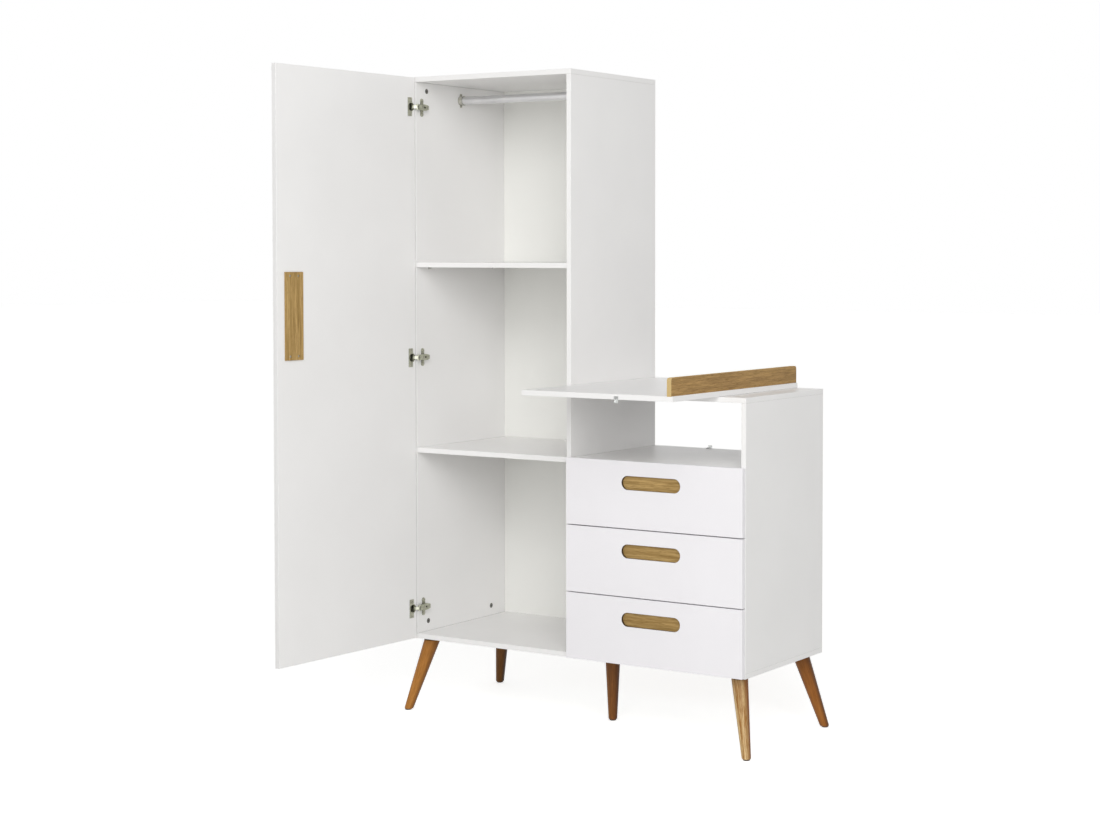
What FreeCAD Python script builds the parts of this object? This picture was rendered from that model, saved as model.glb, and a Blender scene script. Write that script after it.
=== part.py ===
import FreeCAD, Part
import math
import os
import re

import Sketcher

# A chifforobe: a tall one-door wardrobe and a low three-drawer dresser that
# share one base, one partition and five splayed legs.
#
# Frame, in millimetres: +X runs to the right along the front, the fronts
# face -Y, +Z is up. The origin is the middle of the centre leg's sole, so
# the floor is Z = 0. The door is built open, the drawers are built shut.
#
# Each hinge is a concealed cup hinge whose link swings about a pin in the
# arm and carries the door on a second pin in the cup.

os.makedirs("parts", exist_ok=True)
doc = FreeCAD.newDocument("chifforobe")
dim = doc.addObject("Spreadsheet::Sheet", "dim")

DIMENSIONS = [
    ("left_x", -600, "outer face of the left side"),
    ("front_y", -197, "front edges of the carcass"),
    ("width", 1170, "whole carcass, left to right"),
    ("depth", 456, "whole carcass, front to rear"),
    ("wardrobe_width", 585, "wardrobe with both of its sides"),
    ("height", 1930, "top of the wardrobe"),
    ("dresser_height", 1000, "top of the dresser"),
    ("base_z", 220, "underside of the base board"),
    ("board", 15, "thickness of a carcass board"),
    ("ease", 0.5, "eased edge of a lacquered board"),
    ("upper_shelf_z", 1354, "underside of the upper wardrobe shelf"),
    ("lower_shelf_z", 790, "underside of lower shelf and compartment floor"),
    ("shelf_gap", 3, "air behind a shelf"),
    ("back", 3, "thickness of a back sheet"),
    ("back_inset", 8, "back sheet's rear face before the rear edges"),
    ("back_tongue", 5, "back sheet's reach into its grooves"),
    ("groove", 5.5, "depth of a back groove"),
    ("cam_radius", 7.5, "cam fitting"),
    ("cam_hole", 7.8, "bore for a cam"),
    ("cam_depth", 12.5, "depth of a cam bore"),
    ("cam_sunk", 0.5, "cam's face below the board's face"),
    ("cam_slot", 1.6, "driver slot of a cam, across"),
    ("cam_slot_long", 8, "driver slot of a cam, end to end"),
    ("cam_slot_deep", 1.5, "driver slot of a cam, depth"),
    ("cam_front", 52, "front cams behind the front edges"),
    ("cam_rear", 372, "rear cams behind the front edges"),
    ("cam_rise", 31, "lower cams above the base board"),
    ("cam_drop", 25, "upper cams below the top board"),
    ("support", 9, "shelf support, out from the side"),
    ("support_wide", 8, "shelf support's ledge, along the side"),
    ("support_ledge", 2, "thickness of a support's ledge"),
    ("support_pin", 2.5, "shelf support's pin"),
    ("support_bore", 2.8, "bore for a support's pin"),
    ("support_pin_deep", 8, "support's pin, into the side"),
    ("support_room", 0.5, "air at the end of a support's pin"),
    ("support_pin_drop", 4, "support's pin below the shelf"),
    ("support_inset", 60, "support centre from shelf's front and rear"),
    ("rail_radius", 12.5, "hanging rail"),
    ("rail_wall", 1.2, "wall of the rail tube"),
    ("rail_back", 220, "rail axis behind the front edges"),
    ("rail_z", 1872, "rail axis"),
    ("socket_plate", 2.5, "rail socket's wall plate"),
    ("socket_reach", 14, "rail socket, out from the side"),
    ("socket_radius", 14.3, "rail socket's outer radius"),
    ("socket_bore", 12.8, "rail socket's inner radius"),
    ("socket_ear", 17.9, "screw in the socket plate from rail axis"),
    ("socket_ear_radius", 4, "rounded end of the socket plate"),
    ("screw_head", 3.3, "radius of a screw head"),
    ("screw_top", 2.3, "radius at the top of a screw head"),
    ("screw_high", 1.8, "height of a screw head"),
    ("door_width", 574, "door"),
    ("door_height", 1706, "door"),
    ("door_thick", 16, "door"),
    ("door_bottom", 222, "lower edge of the door"),
    ("door_open", 93, "door's angle from shut, as built"),
    ("link_length", 14.08, "hinge link between its two pins"),
    ("link_angle", 214.88, "link's direction from the arm pin"),
    ("link_bend_x", 10.2, "bend of the link, along the line of pins"),
    ("link_bend_y", 2.35, "bend of the link, beside that line"),
    ("link_half", 1.5, "half the width of the link's bars"),
    ("link_eye", 2, "radius of the link's eyes"),
    ("link_high", 9, "height of the link"),
    ("pin_radius", 1.2, "hinge pins"),
    ("pin_bore", 1.25, "bores that run on the hinge pins"),
    ("arm_pin_out", 9, "arm pin from the side's inner face"),
    ("arm_pin_fore", 5, "arm pin in front of the carcass edges"),
    ("cup_pin_in", 8, "cup pin from the door's hinge edge"),
    ("cup_pin_deep", 1.5, "cup pin below the door's inner face"),
    ("hinge_top", 1839, "upper hinge"),
    ("hinge_middle", 1080, "middle hinge"),
    ("hinge_low", 314, "lower hinge"),
    ("arm_gap", 4.8, "arm's cheeks from the hinge's middle plane"),
    ("arm_cheek", 3.4, "thickness of an arm's cheek"),
    ("arm_nose", 3, "arm's round nose about its pin"),
    ("arm_back", 4, "arm's back from the side's inner face"),
    ("arm_face", 12, "arm's face from the side's inner face"),
    ("arm_roof", 1.5, "sheet over the arm's fork"),
    ("arm_roof_fore", 1, "that sheet before the front edges"),
    ("arm_fork_end", 18, "root of the arm's fork behind the front edges"),
    ("arm_body", 14, "fore end of the arm's solid body"),
    ("arm_end", 48, "rear end of the arm"),
    ("arm_middle", 27, "widest place of the arm and middle of its plate"),
    ("arm_belly", 9.5, "half the arm's height at its widest"),
    ("arm_curve", 60, "radius of the arm's long edges"),
    ("arm_hole", 3.2, "hole in the arm's face"),
    ("arm_hole_at", 29, "hole behind the front edges"),
    ("arm_hole_deep", 6, "hole in the arm's face, depth"),
    ("arm_screw_fore", 20, "adjusting screw behind the front edges"),
    ("arm_screw_rear", 40, "fixing screw behind the front edges"),
    ("wing", 2, "thickness of the mounting plate's wings"),
    ("wing_wide", 12, "mounting plate's wing, across"),
    ("wing_reach", 20, "screw in a wing from the hinge's middle plane"),
    ("wing_end", 7, "rounded end of a wing"),
    ("saddle_half", 8, "half the height of the plate's saddle"),
    ("saddle_fore", 16, "fore end of the plate's saddle"),
    ("saddle_end", 42, "rear end of the plate's saddle"),
    ("cup_middle", 17, "cup centre from the door's hinge edge"),
    ("cup_radius", 13, "hinge cup"),
    ("cup_inner", 12, "hollow of the hinge cup"),
    ("cup_hole", 13.3, "bore in the door"),
    ("cup_deep", 10.5, "cup below the door's inner face"),
    ("cup_floor", 1, "thickness of the cup's floor"),
    ("cup_room", 0.4, "air under the cup"),
    ("cup_rim", 14, "radius of the cup's rim"),
    ("cup_notch", 9.6, "notch for the link in the cup's wall"),
    ("cup_notch_deep", 2.2, "notch below the door's inner face"),
    ("lug_fore", 3, "pin lug before its pin, towards the door's edge"),
    ("lug_wide", 5.4, "pin lug, across"),
    ("lug_deep", 4.2, "pin lug below the door's inner face"),
    ("lug_high", 4.8, "pin lug, out of the cup's depth"),
    ("cup_pin_half", 8, "half the length of the cup's pin"),
    ("flange", 1.2, "thickness of the cup's flange"),
    ("flange_long", 56, "flange, along the door's edge"),
    ("flange_wide", 17.5, "flange, across"),
    ("flange_in", 13, "flange from the door's hinge edge"),
    ("flange_screw", 23, "screw in the flange from the hinge's middle plane"),
    ("grip_long", 196, "finger slot, end to end"),
    ("grip_wide", 40, "finger slot, across"),
    ("grip_drop", 62, "slot centre below a drawer front's top edge"),
    ("door_grip_in", 509.5, "door slot from the hinge edge"),
    ("door_grip_z", 1218, "door slot, height of its centre"),
    ("plate_long", 250, "oak plate behind a slot"),
    ("plate_wide", 70, "oak plate, across"),
    ("plate_thick", 12, "oak plate"),
    ("plate_let_in", 8, "depth of an oak plate's seat in a panel"),
    ("plate_room", 0.3, "air around an oak plate in its seat"),
    ("plate_bore", 3.9, "counterbore for an oak plate's screw"),
    ("plate_bore_deep", 2.4, "counterbore for an oak plate's screw"),
    ("plate_screw_end", 11, "screw from the plate's end"),
    ("plate_screw_side", 16, "screw from the plate's long middle line"),
    ("front_thick", 16, "drawer front"),
    ("front_width", 590, "drawer front"),
    ("front_x", -21, "left edge of the drawer fronts"),
    ("front_gap", 1, "air behind a drawer front"),
    ("stack_bottom", 222.5, "lower edge of the lowest drawer front"),
    ("stack_height", 584, "three drawer fronts with their gaps"),
    ("reveal", 3, "gap between drawer fronts"),
    ("runner_wide", 12.7, "room for a runner beside a drawer"),
    ("runner_high", 35, "drawer runner"),
    ("runner_long", 400, "drawer runner"),
    ("runner_rise", 32.5, "runner above the drawer side's lower edge"),
    ("runner_wall", 1.2, "sheet steel of a runner"),
    ("runner_lip", 3, "lips of the fixed runner"),
    ("runner_fixed", 12, "depth of the fixed runner"),
    ("runner_moving", 7.7, "depth of the moving runner"),
    ("runner_short", 3, "moving runner shorter than the fixed one"),
    ("runner_inset", 2, "runners behind the front edges"),
    ("runner_play", 5, "room for the balls above and below"),
    ("side_thick", 12, "drawer side"),
    ("side_high", 140, "drawer side"),
    ("side_long", 400, "drawer side"),
    ("side_lift", 18, "drawer side above the front's lower edge"),
    ("bottom_thick", 3, "drawer bottom"),
    ("bottom_lift", 10, "drawer bottom above the side's lower edge"),
    ("bottom_tongue", 5.5, "drawer bottom's reach into its grooves"),
    ("bottom_groove", 6, "depth of a drawer bottom groove"),
    ("leg_top", 24, "leg radius at the base board"),
    ("leg_foot", 12.8, "leg radius at the floor"),
    ("leg_spread", 54, "how far a leg splays along X, and as far along Y"),
    ("leg_inset_side", 42, "leg's top centre from the side"),
    ("leg_inset_front", 40.5, "leg's top centre from the front edges"),
    ("leg_inset_rear", 57, "leg's top centre from the rear edges"),
    ("leg_run_on", 20, "turned blank beyond both ends of a leg"),
    ("leg_room", 150, "half of the block that cuts a blank level"),
    ("leg_plate", 2.5, "leg plate under the base board"),
    ("leg_plate_radius", 22, "leg plate"),
    ("glide", 3, "thickness of a glide"),
    ("glide_radius", 10, "glide under a leg"),
    ("top_width", 498, "changing board"),
    ("top_long", 700, "changing board, front to rear"),
    ("top_x", -14, "left edge of the changing board"),
    ("guard_thick", 14, "oak guard on the changing board"),
    ("guard_high", 50, "oak guard"),
    ("guard_inset", 4, "guard from the board's right edge"),
    ("guard_round", 9, "rounded upper corners of the guard"),
    ("guard_seat", 1, "guard let into the changing board"),
    ("clip_wide", 12, "clear edge clip"),
    ("clip_high", 18, "clear edge clip"),
    ("clip_thick", 2.5, "clear edge clip"),
    ("clip_tongue", 16, "clip's tongue along the board"),
    ("clip_front_x", 298, "left edge of the changing board's clip"),
    ("clip_front_drop", 9, "that clip below the dresser's top"),
    ("clip_rear_x", 177, "left edge of the compartment floor's clip"),
    ("clip_rear_lift", 6, "that clip above the floor's underside"),
]
NAMES = {name for name, value, meaning in DIMENSIONS}

for row, (name, value, meaning) in enumerate(DIMENSIONS, start=1):
    dim.set(f"A{row}", meaning)
    dim.set(f"B{row}", str(value))
    dim.setAlias(f"B{row}", name)
doc.recompute()

# Places that several boards share, as formulas over the sheet.
RIGHT = "(left_x + width)"
REAR = "(front_y + depth)"
PARTITION = "(left_x + wardrobe_width - board)"
WARDROBE_LEFT = "(left_x + board)"
DRESSER_LEFT = "(left_x + wardrobe_width)"
DRESSER_RIGHT = "(left_x + width - board)"
BASE_TOP = "(base_z + board)"
BACK_Y = "(depth - back_inset - back)"
ARM_PIN_X = "(left_x + board + arm_pin_out)"
ARM_PIN_Y = "(front_y - arm_pin_fore)"
CUP_PIN_X = f"({ARM_PIN_X} + link_length * cos(link_angle))"
CUP_PIN_Y = f"({ARM_PIN_Y} + link_length * sin(link_angle))"
DOOR_X = f"({CUP_PIN_X} - cup_pin_in * cos(door_open) + cup_pin_deep * sin(door_open))"
DOOR_Y = f"({CUP_PIN_Y} + cup_pin_in * sin(door_open) + cup_pin_deep * cos(door_open))"
FRONT_HEIGHT = "((stack_height - 2 * reveal) / 3)"
SHELF_DEPTH = f"({BACK_Y} - shelf_gap)"
SHELVES = ("upper_shelf_z", "lower_shelf_z")
SUPPORTS = ("support_inset", f"{SHELF_DEPTH} - support_inset")
HINGES = ("hinge_top", "hinge_middle", "hinge_low")


def formula(text):
    """Point every dimension named in a formula at its cell of the sheet."""

    def cell(word):
        return "dim." + word[0] if word[0] in NAMES else word[0]

    return re.sub(r"[a-z][a-z_]*", cell, str(text))


def number(text):
    """Work a formula out now, for the first guess of a sketch."""
    return float(dim.evalExpression(formula(text)))


def bind(thing, links):
    """Tie properties of one object to formulas."""
    for name, text in links.items():
        thing.setExpression(name, formula(text))


def place(thing, corner):
    """Tie an object's position to three formulas."""
    bind(thing, dict(zip(("Placement.Base.x", "Placement.Base.y", "Placement.Base.z"), corner)))


def turn(thing, axis, angle):
    """Turn an object about an axis through its own origin."""
    thing.Placement.Rotation = FreeCAD.Rotation(FreeCAD.Vector(*axis), number(angle))


# --- boards: sketched, padded, eased and then grooved or bored ---------------

PLANES = {"x": "YZ_Plane", "y": "XZ_Plane", "z": "XY_Plane"}


def sketch_on(body, thin, far=False, thickness="0"):
    """Lay a sketch on the near or far broad face of a board."""
    sketch = body.newObject("Sketcher::SketchObject", body.Name + "_sketch")
    for feature in body.Origin.OriginFeatures:
        if feature.Role == PLANES[thin]:
            sketch.AttachmentSupport = (feature, [""])
    sketch.MapMode = "FlatFace"
    if far:
        # The XZ plane faces -Y, so its far side lies at a negative offset.
        sign = "-" if thin == "y" else ""
        bind(sketch, {"AttachmentOffset.Base.z": f"{sign}({thickness})"})
    return sketch


def tie(sketch, kind, *where):
    """Add one sketch dimension whose value is the formula that comes last."""
    *ends, text = where
    index = sketch.addConstraint(Sketcher.Constraint(kind, *ends, number(text)))
    sketch.setExpression(f"Constraints[{index}]", formula(text))


def rectangle(sketch, x, y, wide, high):
    """Draw a rectangle from its lower left corner and its two sizes."""
    left, low = number(x), number(y)
    right, top = left + number(wide), low + number(high)
    corners = [(left, low), (right, low), (right, top), (left, top)]
    first = sketch.GeometryCount
    for start, end in zip(corners, corners[1:] + corners[:1]):
        line = Part.LineSegment(FreeCAD.Vector(*start, 0), FreeCAD.Vector(*end, 0))
        sketch.addGeometry(line, False)
    for side in range(4):
        follow = first + (side + 1) % 4
        sketch.addConstraint(Sketcher.Constraint("Coincident", first + side, 2, follow, 1))
        kind = "Horizontal" if side % 2 == 0 else "Vertical"
        sketch.addConstraint(Sketcher.Constraint(kind, first + side))
    tie(sketch, "DistanceX", -1, 1, first, 1, x)
    tie(sketch, "DistanceY", -1, 1, first, 1, y)
    tie(sketch, "DistanceX", first, 1, first, 2, wide)
    tie(sketch, "DistanceY", first + 1, 1, first + 1, 2, high)


def circle(sketch, x, y, radius):
    """Draw a circle from its centre and radius."""
    centre = FreeCAD.Vector(number(x), number(y), 0)
    up = FreeCAD.Vector(0, 0, 1)
    index = sketch.addGeometry(Part.Circle(centre, up, number(radius)), False)
    tie(sketch, "DistanceX", -1, 1, index, 3, x)
    tie(sketch, "DistanceY", -1, 1, index, 3, y)
    tie(sketch, "Radius", index, radius)


def stadium(sketch, start, end, radius):
    """Draw a slot with round ends between the two centres of its ends."""
    first, last = [FreeCAD.Vector(number(x), number(y), 0) for x, y in (start, end)]
    along = math.atan2(last.y - first.y, last.x - first.x)
    quarter = math.pi / 2
    reach = number(radius)
    side = FreeCAD.Vector(-math.sin(along), math.cos(along), 0) * reach
    up = FreeCAD.Vector(0, 0, 1)
    tail = Part.ArcOfCircle(Part.Circle(first, up, reach), along + quarter, along + 3 * quarter)
    head = Part.ArcOfCircle(Part.Circle(last, up, reach), along - quarter, along + quarter)
    sketch.addGeometry(tail, False)
    sketch.addGeometry(head, False)
    sketch.addGeometry(Part.LineSegment(first - side, last - side), False)
    sketch.addGeometry(Part.LineSegment(last + side, first + side), False)
    for one, its_end, other, its_start in ((0, 2, 2, 1), (2, 2, 1, 1), (1, 2, 3, 1), (3, 2, 0, 1)):
        sketch.addConstraint(Sketcher.Constraint("Tangent", one, its_end, other, its_start))
    for arc, (x, y) in ((0, start), (1, end)):
        tie(sketch, "DistanceX", -1, 1, arc, 3, x)
        tie(sketch, "DistanceY", -1, 1, arc, 3, y)
    tie(sketch, "Radius", 0, radius)


def board(label, thin, corner, wide, high, thickness, ease="ease"):
    """Make a board from its lowest corner; `thin` is the axis of its thickness."""
    body = doc.addObject("PartDesign::Body", label)
    body.Label = label
    place(body, corner)
    outline = sketch_on(body, thin)
    rectangle(outline, "0", "0", wide, high)
    pad = body.newObject("PartDesign::Pad", label + "_pad")
    pad.Profile = outline
    bind(pad, {"Length": thickness})
    pad.Reversed = thin == "y"
    doc.recompute()
    if ease:
        eased = body.newObject("PartDesign::Chamfer", label + "_eased")
        edges = [f"Edge{index + 1}" for index in range(len(pad.Shape.Edges))]
        eased.Base = (pad, edges)
        bind(eased, {"Size": ease})
        doc.recompute()
    return body


def carve(body, thin, thickness, far, depth, draw):
    """Sink the outline that `draw` puts on a board's face, and prove that it cut."""
    before = body.Shape.Volume
    sketch = sketch_on(body, thin, far, thickness)
    draw(sketch)
    pocket = body.newObject("PartDesign::Pocket", body.Name + "_pocket")
    pocket.Profile = sketch
    bind(pocket, {"Length": depth})
    pocket.Reversed = far == (thin == "y")
    doc.recompute()
    if not body.Shape.Volume < before - 1:
        raise RuntimeError(f"a pocket in {body.Label} cuts nothing")


def groove(body, thin, thickness, far, depth, x, y, wide, high):
    """Cut a straight groove into a board."""
    carve(body, thin, thickness, far, depth, lambda sketch: rectangle(sketch, x, y, wide, high))


def bores(body, thin, thickness, far, depth, radius, centres):
    """Bore blind holes of one size into a board."""

    def draw(sketch):
        for x, y in centres:
            circle(sketch, x, y, radius)

    carve(body, thin, thickness, far, depth, draw)


# --- fittings: primitives and booleans ---------------------------------------


def block(label, corner, size):
    """Make a cuboid from its lowest corner and its three sizes."""
    box = doc.addObject("Part::Box", label)
    bind(box, dict(zip(("Length", "Width", "Height"), size)))
    place(box, corner)
    return box


ALONG = {"x": ((0, 1, 0), 90), "-x": ((0, 1, 0), -90), "y": ((1, 0, 0), -90), "-y": ((1, 0, 0), 90)}


def aim(thing, along):
    """Lay a round piece along one of the axes; it starts out along +Z."""
    if along in ALONG:
        axis, angle = ALONG[along]
        turn(thing, axis, angle)


def rod(label, start, radius, length, along="z"):
    """Make a cylinder from the centre of its first end."""
    cylinder = doc.addObject("Part::Cylinder", label)
    bind(cylinder, {"Radius": radius, "Height": length})
    aim(cylinder, along)
    place(cylinder, start)
    return cylinder


def screw(label, start, along):
    """Make a pan head that stands on the face it holds."""
    cone = doc.addObject("Part::Cone", label)
    bind(cone, {"Radius1": "screw_head", "Radius2": "screw_top", "Height": "screw_high"})
    aim(cone, along)
    place(cone, start)
    return cone


def cut(label, base, *tools):
    """Take one or more pieces away from a piece."""
    result = doc.addObject("Part::Cut", label)
    result.Base = base
    result.Tool = tools[0] if len(tools) == 1 else join(label + "_tool", *tools)
    return result


def join(label, *pieces):
    """Unite overlapping pieces into one solid."""
    result = doc.addObject("Part::MultiFuse", label)
    result.Shapes = list(pieces)
    return result


def overlap(label, one, other):
    """Keep only what two pieces share."""
    result = doc.addObject("Part::Common", label)
    result.Base = one
    result.Tool = other
    return result


def group(label, pieces):
    """Keep separate solids of one kind together as one sub-part."""
    result = doc.addObject("Part::Compound", label)
    result.Links = list(pieces)
    result.Label = label
    return result


def hang(thing, along, out, z):
    """Put a piece on the open door: along from the hinge edge, out from its inner face."""
    thing.Placement.Rotation = FreeCAD.Rotation(FreeCAD.Vector(0, 0, -1), number("door_open"))
    x = f"{DOOR_X} + ({along}) * cos(door_open) + ({out}) * sin(door_open)"
    y = f"{DOOR_Y} - ({along}) * sin(door_open) + ({out}) * cos(door_open)"
    place(thing, (x, y, z))
    bind(thing, {"Placement.Rotation.Angle": "door_open"})


# --- carcass -----------------------------------------------------------------


def carcass_boards():
    """Make the base, sides, partition and tops, with grooves and cam bores."""
    side_height = f"(height - board - {BASE_TOP})"
    dresser_side = f"(dresser_height - board - {BASE_TOP})"
    base = board("base_panel", "z", ("left_x", "front_y", "base_z"), "width", "depth", "board")
    groove(base, "z", "board", True, "groove", "board - groove", BACK_Y,
           "width - 2 * board + 2 * groove", "back")

    rows = ("cam_front", "cam_rear")
    cams, low_cams = [[(y, z) for z in ("cam_rise", f"{top} - cam_drop") for y in rows]
                      for top in (side_height, dresser_side)]
    supports = [(y, f"{shelf} - support_pin_drop - {BASE_TOP}") for shelf in SHELVES for y in SUPPORTS]

    left = board("left_side", "x", ("left_x", "front_y", BASE_TOP), "depth", side_height, "board")
    groove(left, "x", "board", True, "groove", BACK_Y, "0", "back", side_height)
    bores(left, "x", "board", True, "cam_depth", "cam_hole", cams)
    bores(left, "x", "board", True, "support_pin_deep + support_room", "support_bore", supports)

    middle = board("partition", "x", (PARTITION, "front_y", BASE_TOP), "depth", side_height, "board")
    groove(middle, "x", "board", False, "groove", BACK_Y, "0", "back", side_height)
    groove(middle, "x", "board", True, "groove", BACK_Y, "0", "back",
           f"lower_shelf_z + groove - {BASE_TOP}")
    bores(middle, "x", "board", False, "cam_depth", "cam_hole", cams)
    bores(middle, "x", "board", False, "support_pin_deep + support_room", "support_bore", supports)

    right = board("right_side", "x", (DRESSER_RIGHT, "front_y", BASE_TOP),
                  "depth", dresser_side, "board")
    groove(right, "x", "board", False, "groove", BACK_Y, "0", "back",
           f"lower_shelf_z + groove - {BASE_TOP}")
    bores(right, "x", "board", False, "cam_depth", "cam_hole", low_cams)

    top = board("wardrobe_top", "z", ("left_x", "front_y", "height - board"),
                "wardrobe_width", "depth", "board")
    groove(top, "z", "board", False, "groove", "board - groove", BACK_Y,
           "wardrobe_width - 2 * board + 2 * groove", "back")
    board("dresser_top", "z", (DRESSER_LEFT, "front_y", "dresser_height - board"),
          "width - wardrobe_width", "depth", "board")
    floor = board("compartment_floor", "z", (DRESSER_LEFT, "front_y", "lower_shelf_z"),
                  "width - wardrobe_width - board", "depth", "board")
    groove(floor, "z", "board", False, "groove", "0", BACK_Y,
           "width - wardrobe_width - board", "back")
    return cams, low_cams


def cam_fittings(cams, low_cams):
    """Fill the cam bores; each cam carries a driver slot."""
    pieces = []
    walls = [(WARDROBE_LEFT, "-x", cams), (PARTITION, "x", cams), (DRESSER_RIGHT, "x", low_cams)]
    for wall, (face, along, centres) in enumerate(walls):
        inward = "-" if along == "-x" else "+"
        for index, (y, z) in enumerate(centres):
            tag = f"cam_{wall}_{index}"
            centre = (f"front_y + {y}", f"{BASE_TOP} + {z}")
            disc = rod(tag, (f"{face} {inward} cam_sunk", *centre), "cam_radius",
                       "cam_depth - cam_sunk", along)
            low = (f"{centre[0]} - cam_slot_long / 2", f"{centre[1]} - cam_slot / 2")
            slot_x = f"{face} - cam_sunk - cam_slot_deep" if along == "-x" else face
            slot = block(tag + "_slot", (slot_x, *low),
                         ("cam_sunk + cam_slot_deep", "cam_slot_long", "cam_slot"))
            pieces.append(cut(tag + "_cam", disc, slot))
    group("cam_fittings", pieces)


def back_sheets():
    """Make the two sheets that close the wardrobe and the drawers behind."""
    y = f"front_y + {BACK_Y}"
    board("wardrobe_back", "y",
          (f"{WARDROBE_LEFT} - back_tongue", y, f"{BASE_TOP} - back_tongue"),
          "wardrobe_width - 2 * board + 2 * back_tongue",
          f"height - board - {BASE_TOP} + 2 * back_tongue", "back", None)
    board("drawer_back", "y",
          (f"{DRESSER_LEFT} - back_tongue", y, f"{BASE_TOP} - back_tongue"),
          "width - wardrobe_width - board + 2 * back_tongue",
          f"lower_shelf_z - {BASE_TOP} + 2 * back_tongue", "back", None)


def shelf_support(tag, wall, along, y, z):
    """Make one support: a pin in the side with a ledge under the shelf."""
    sign, inward = (1, "-") if along == "x" else (-1, "+")
    start = f"{wall} {inward} support_pin_deep"
    pin = rod(tag + "_pin", (start, y, f"{z} - support_pin_drop"), "support_pin",
              "support_pin_deep + support", along)
    x = wall if sign > 0 else f"{wall} - support"
    ledge = block(tag + "_ledge", (x, f"{y} - support_wide / 2", f"{z} - support_ledge"),
                  ("support", "support_wide", "support_ledge"))
    return join(tag, pin, ledge)


def shelves():
    """Make the two wardrobe shelves and the eight supports below them."""
    pieces = []
    for label, z in zip(("upper_shelf", "lower_shelf"), SHELVES):
        board(label, "z", (WARDROBE_LEFT, "front_y", z), "wardrobe_width - 2 * board",
              SHELF_DEPTH, "board")
        for wall, along in ((WARDROBE_LEFT, "x"), (PARTITION, "-x")):
            for y in SUPPORTS:
                tag = f"support_{len(pieces)}"
                pieces.append(shelf_support(tag, wall, along, f"(front_y + {y})", z))
    group("shelf_supports", pieces)


def hanging_rail():
    """Make the clothes rail and its two sockets; return the sockets' screws."""
    y = "(front_y + rail_back)"
    start = f"({WARDROBE_LEFT} + socket_plate)"
    length = "(wardrobe_width - 2 * board - 2 * socket_plate)"
    outer = rod("rail_outer", (start, y, "rail_z"), "rail_radius", length, "x")
    hollow = rod("rail_hollow", (f"{start} - 1", y, "rail_z"),
                 "rail_radius - rail_wall", f"{length} + 2", "x")
    cut("hanging_rail", outer, hollow)
    sockets, screws = [], []
    for side, wall, along, sign in (("left", WARDROBE_LEFT, "x", "+"), ("right", PARTITION, "-x", "-")):
        tag = f"rail_socket_{side}"
        ring = rod(tag + "_ring", (wall, y, "rail_z"), "socket_radius", "socket_reach", along)
        ears = []
        for end, lift in (("upper", "+"), ("lower", "-")):
            z = f"rail_z {lift} socket_ear"
            ears.append(rod(f"{tag}_{end}", (wall, y, z), "socket_ear_radius", "socket_plate", along))
            screws.append(screw(f"{tag}_{end}_screw", (f"{wall} {sign} socket_plate", y, z), along))
        web_x = wall if sign == "+" else f"{wall} - socket_plate"
        web = block(tag + "_web", (web_x, f"{y} - socket_ear_radius", "rail_z - socket_ear"),
                    ("socket_plate", "2 * socket_ear_radius", "2 * socket_ear"))
        bore = rod(tag + "_bore", (f"{wall} {sign} socket_plate", y, "rail_z"),
                   "socket_bore", "socket_reach", along)
        sockets.append(cut(tag, join(tag + "_body", ring, web, *ears), bore))
    group("rail_sockets", sockets)
    return screws


# --- legs --------------------------------------------------------------------

LEGS = (
    ("front_left", "left_x + leg_inset_side", "front_y + leg_inset_front", -1, -1),
    ("rear_left", "left_x + leg_inset_side", f"{REAR} - leg_inset_rear", -1, 1),
    ("front_right", f"{RIGHT} - leg_inset_side", "front_y + leg_inset_front", 1, -1),
    ("rear_right", f"{RIGHT} - leg_inset_side", f"{REAR} - leg_inset_rear", 1, 1),
    ("centre", "0", "0", 0, 0),
)


def leg_blank(label, x, y, lean_x, lean_y):
    """Turn a taper about the leg's own axis and lean it over its top centre."""
    along_x, along_y = f"{lean_x} * leg_spread", f"{lean_y} * leg_spread"
    run = f"sqrt(base_z ^ 2 + ({along_x}) ^ 2 + ({along_y}) ^ 2)"
    extra = f"leg_run_on / {run}"
    # The blank runs on past both ends, so that level cuts leave no gap.
    taper = doc.addObject("Part::Cone", label)
    bind(taper, {"Height": f"{run} + 2 * leg_run_on",
                 "Radius1": f"leg_top + (leg_top - leg_foot) * {extra}",
                 "Radius2": f"leg_foot - (leg_top - leg_foot) * {extra}"})
    down = FreeCAD.Vector(number(along_x), number(along_y), -number("base_z"))
    taper.Placement.Rotation = FreeCAD.Rotation(FreeCAD.Vector(0, 0, 1), down)
    place(taper, (f"{x} - {along_x} * {extra}", f"{y} - {along_y} * {extra}",
                  f"base_z + base_z * {extra}"))
    return taper


def legs():
    """Make five turned legs, cut level, each under a plate and on a glide."""
    plates, glides = [], []
    for name, x, y, lean_x, lean_y in LEGS:
        blank = leg_blank(f"leg_{name}_blank", x, y, lean_x, lean_y)
        room = block(f"leg_{name}_room", (f"{x} - leg_room", f"{y} - leg_room", "glide"),
                     ("2 * leg_room", "2 * leg_room", "base_z - leg_plate - glide"))
        overlap(f"leg_{name}", blank, room)
        plates.append(rod(f"plate_{name}", (x, y, "base_z - leg_plate"),
                          "leg_plate_radius", "leg_plate"))
        foot = (f"{x} + {lean_x} * leg_spread", f"{y} + {lean_y} * leg_spread", "0")
        glides.append(rod(f"glide_{name}", foot, "glide_radius", "glide"))
    group("leg_plates", plates)
    group("leg_glides", glides)


# --- changing board ----------------------------------------------------------


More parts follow.
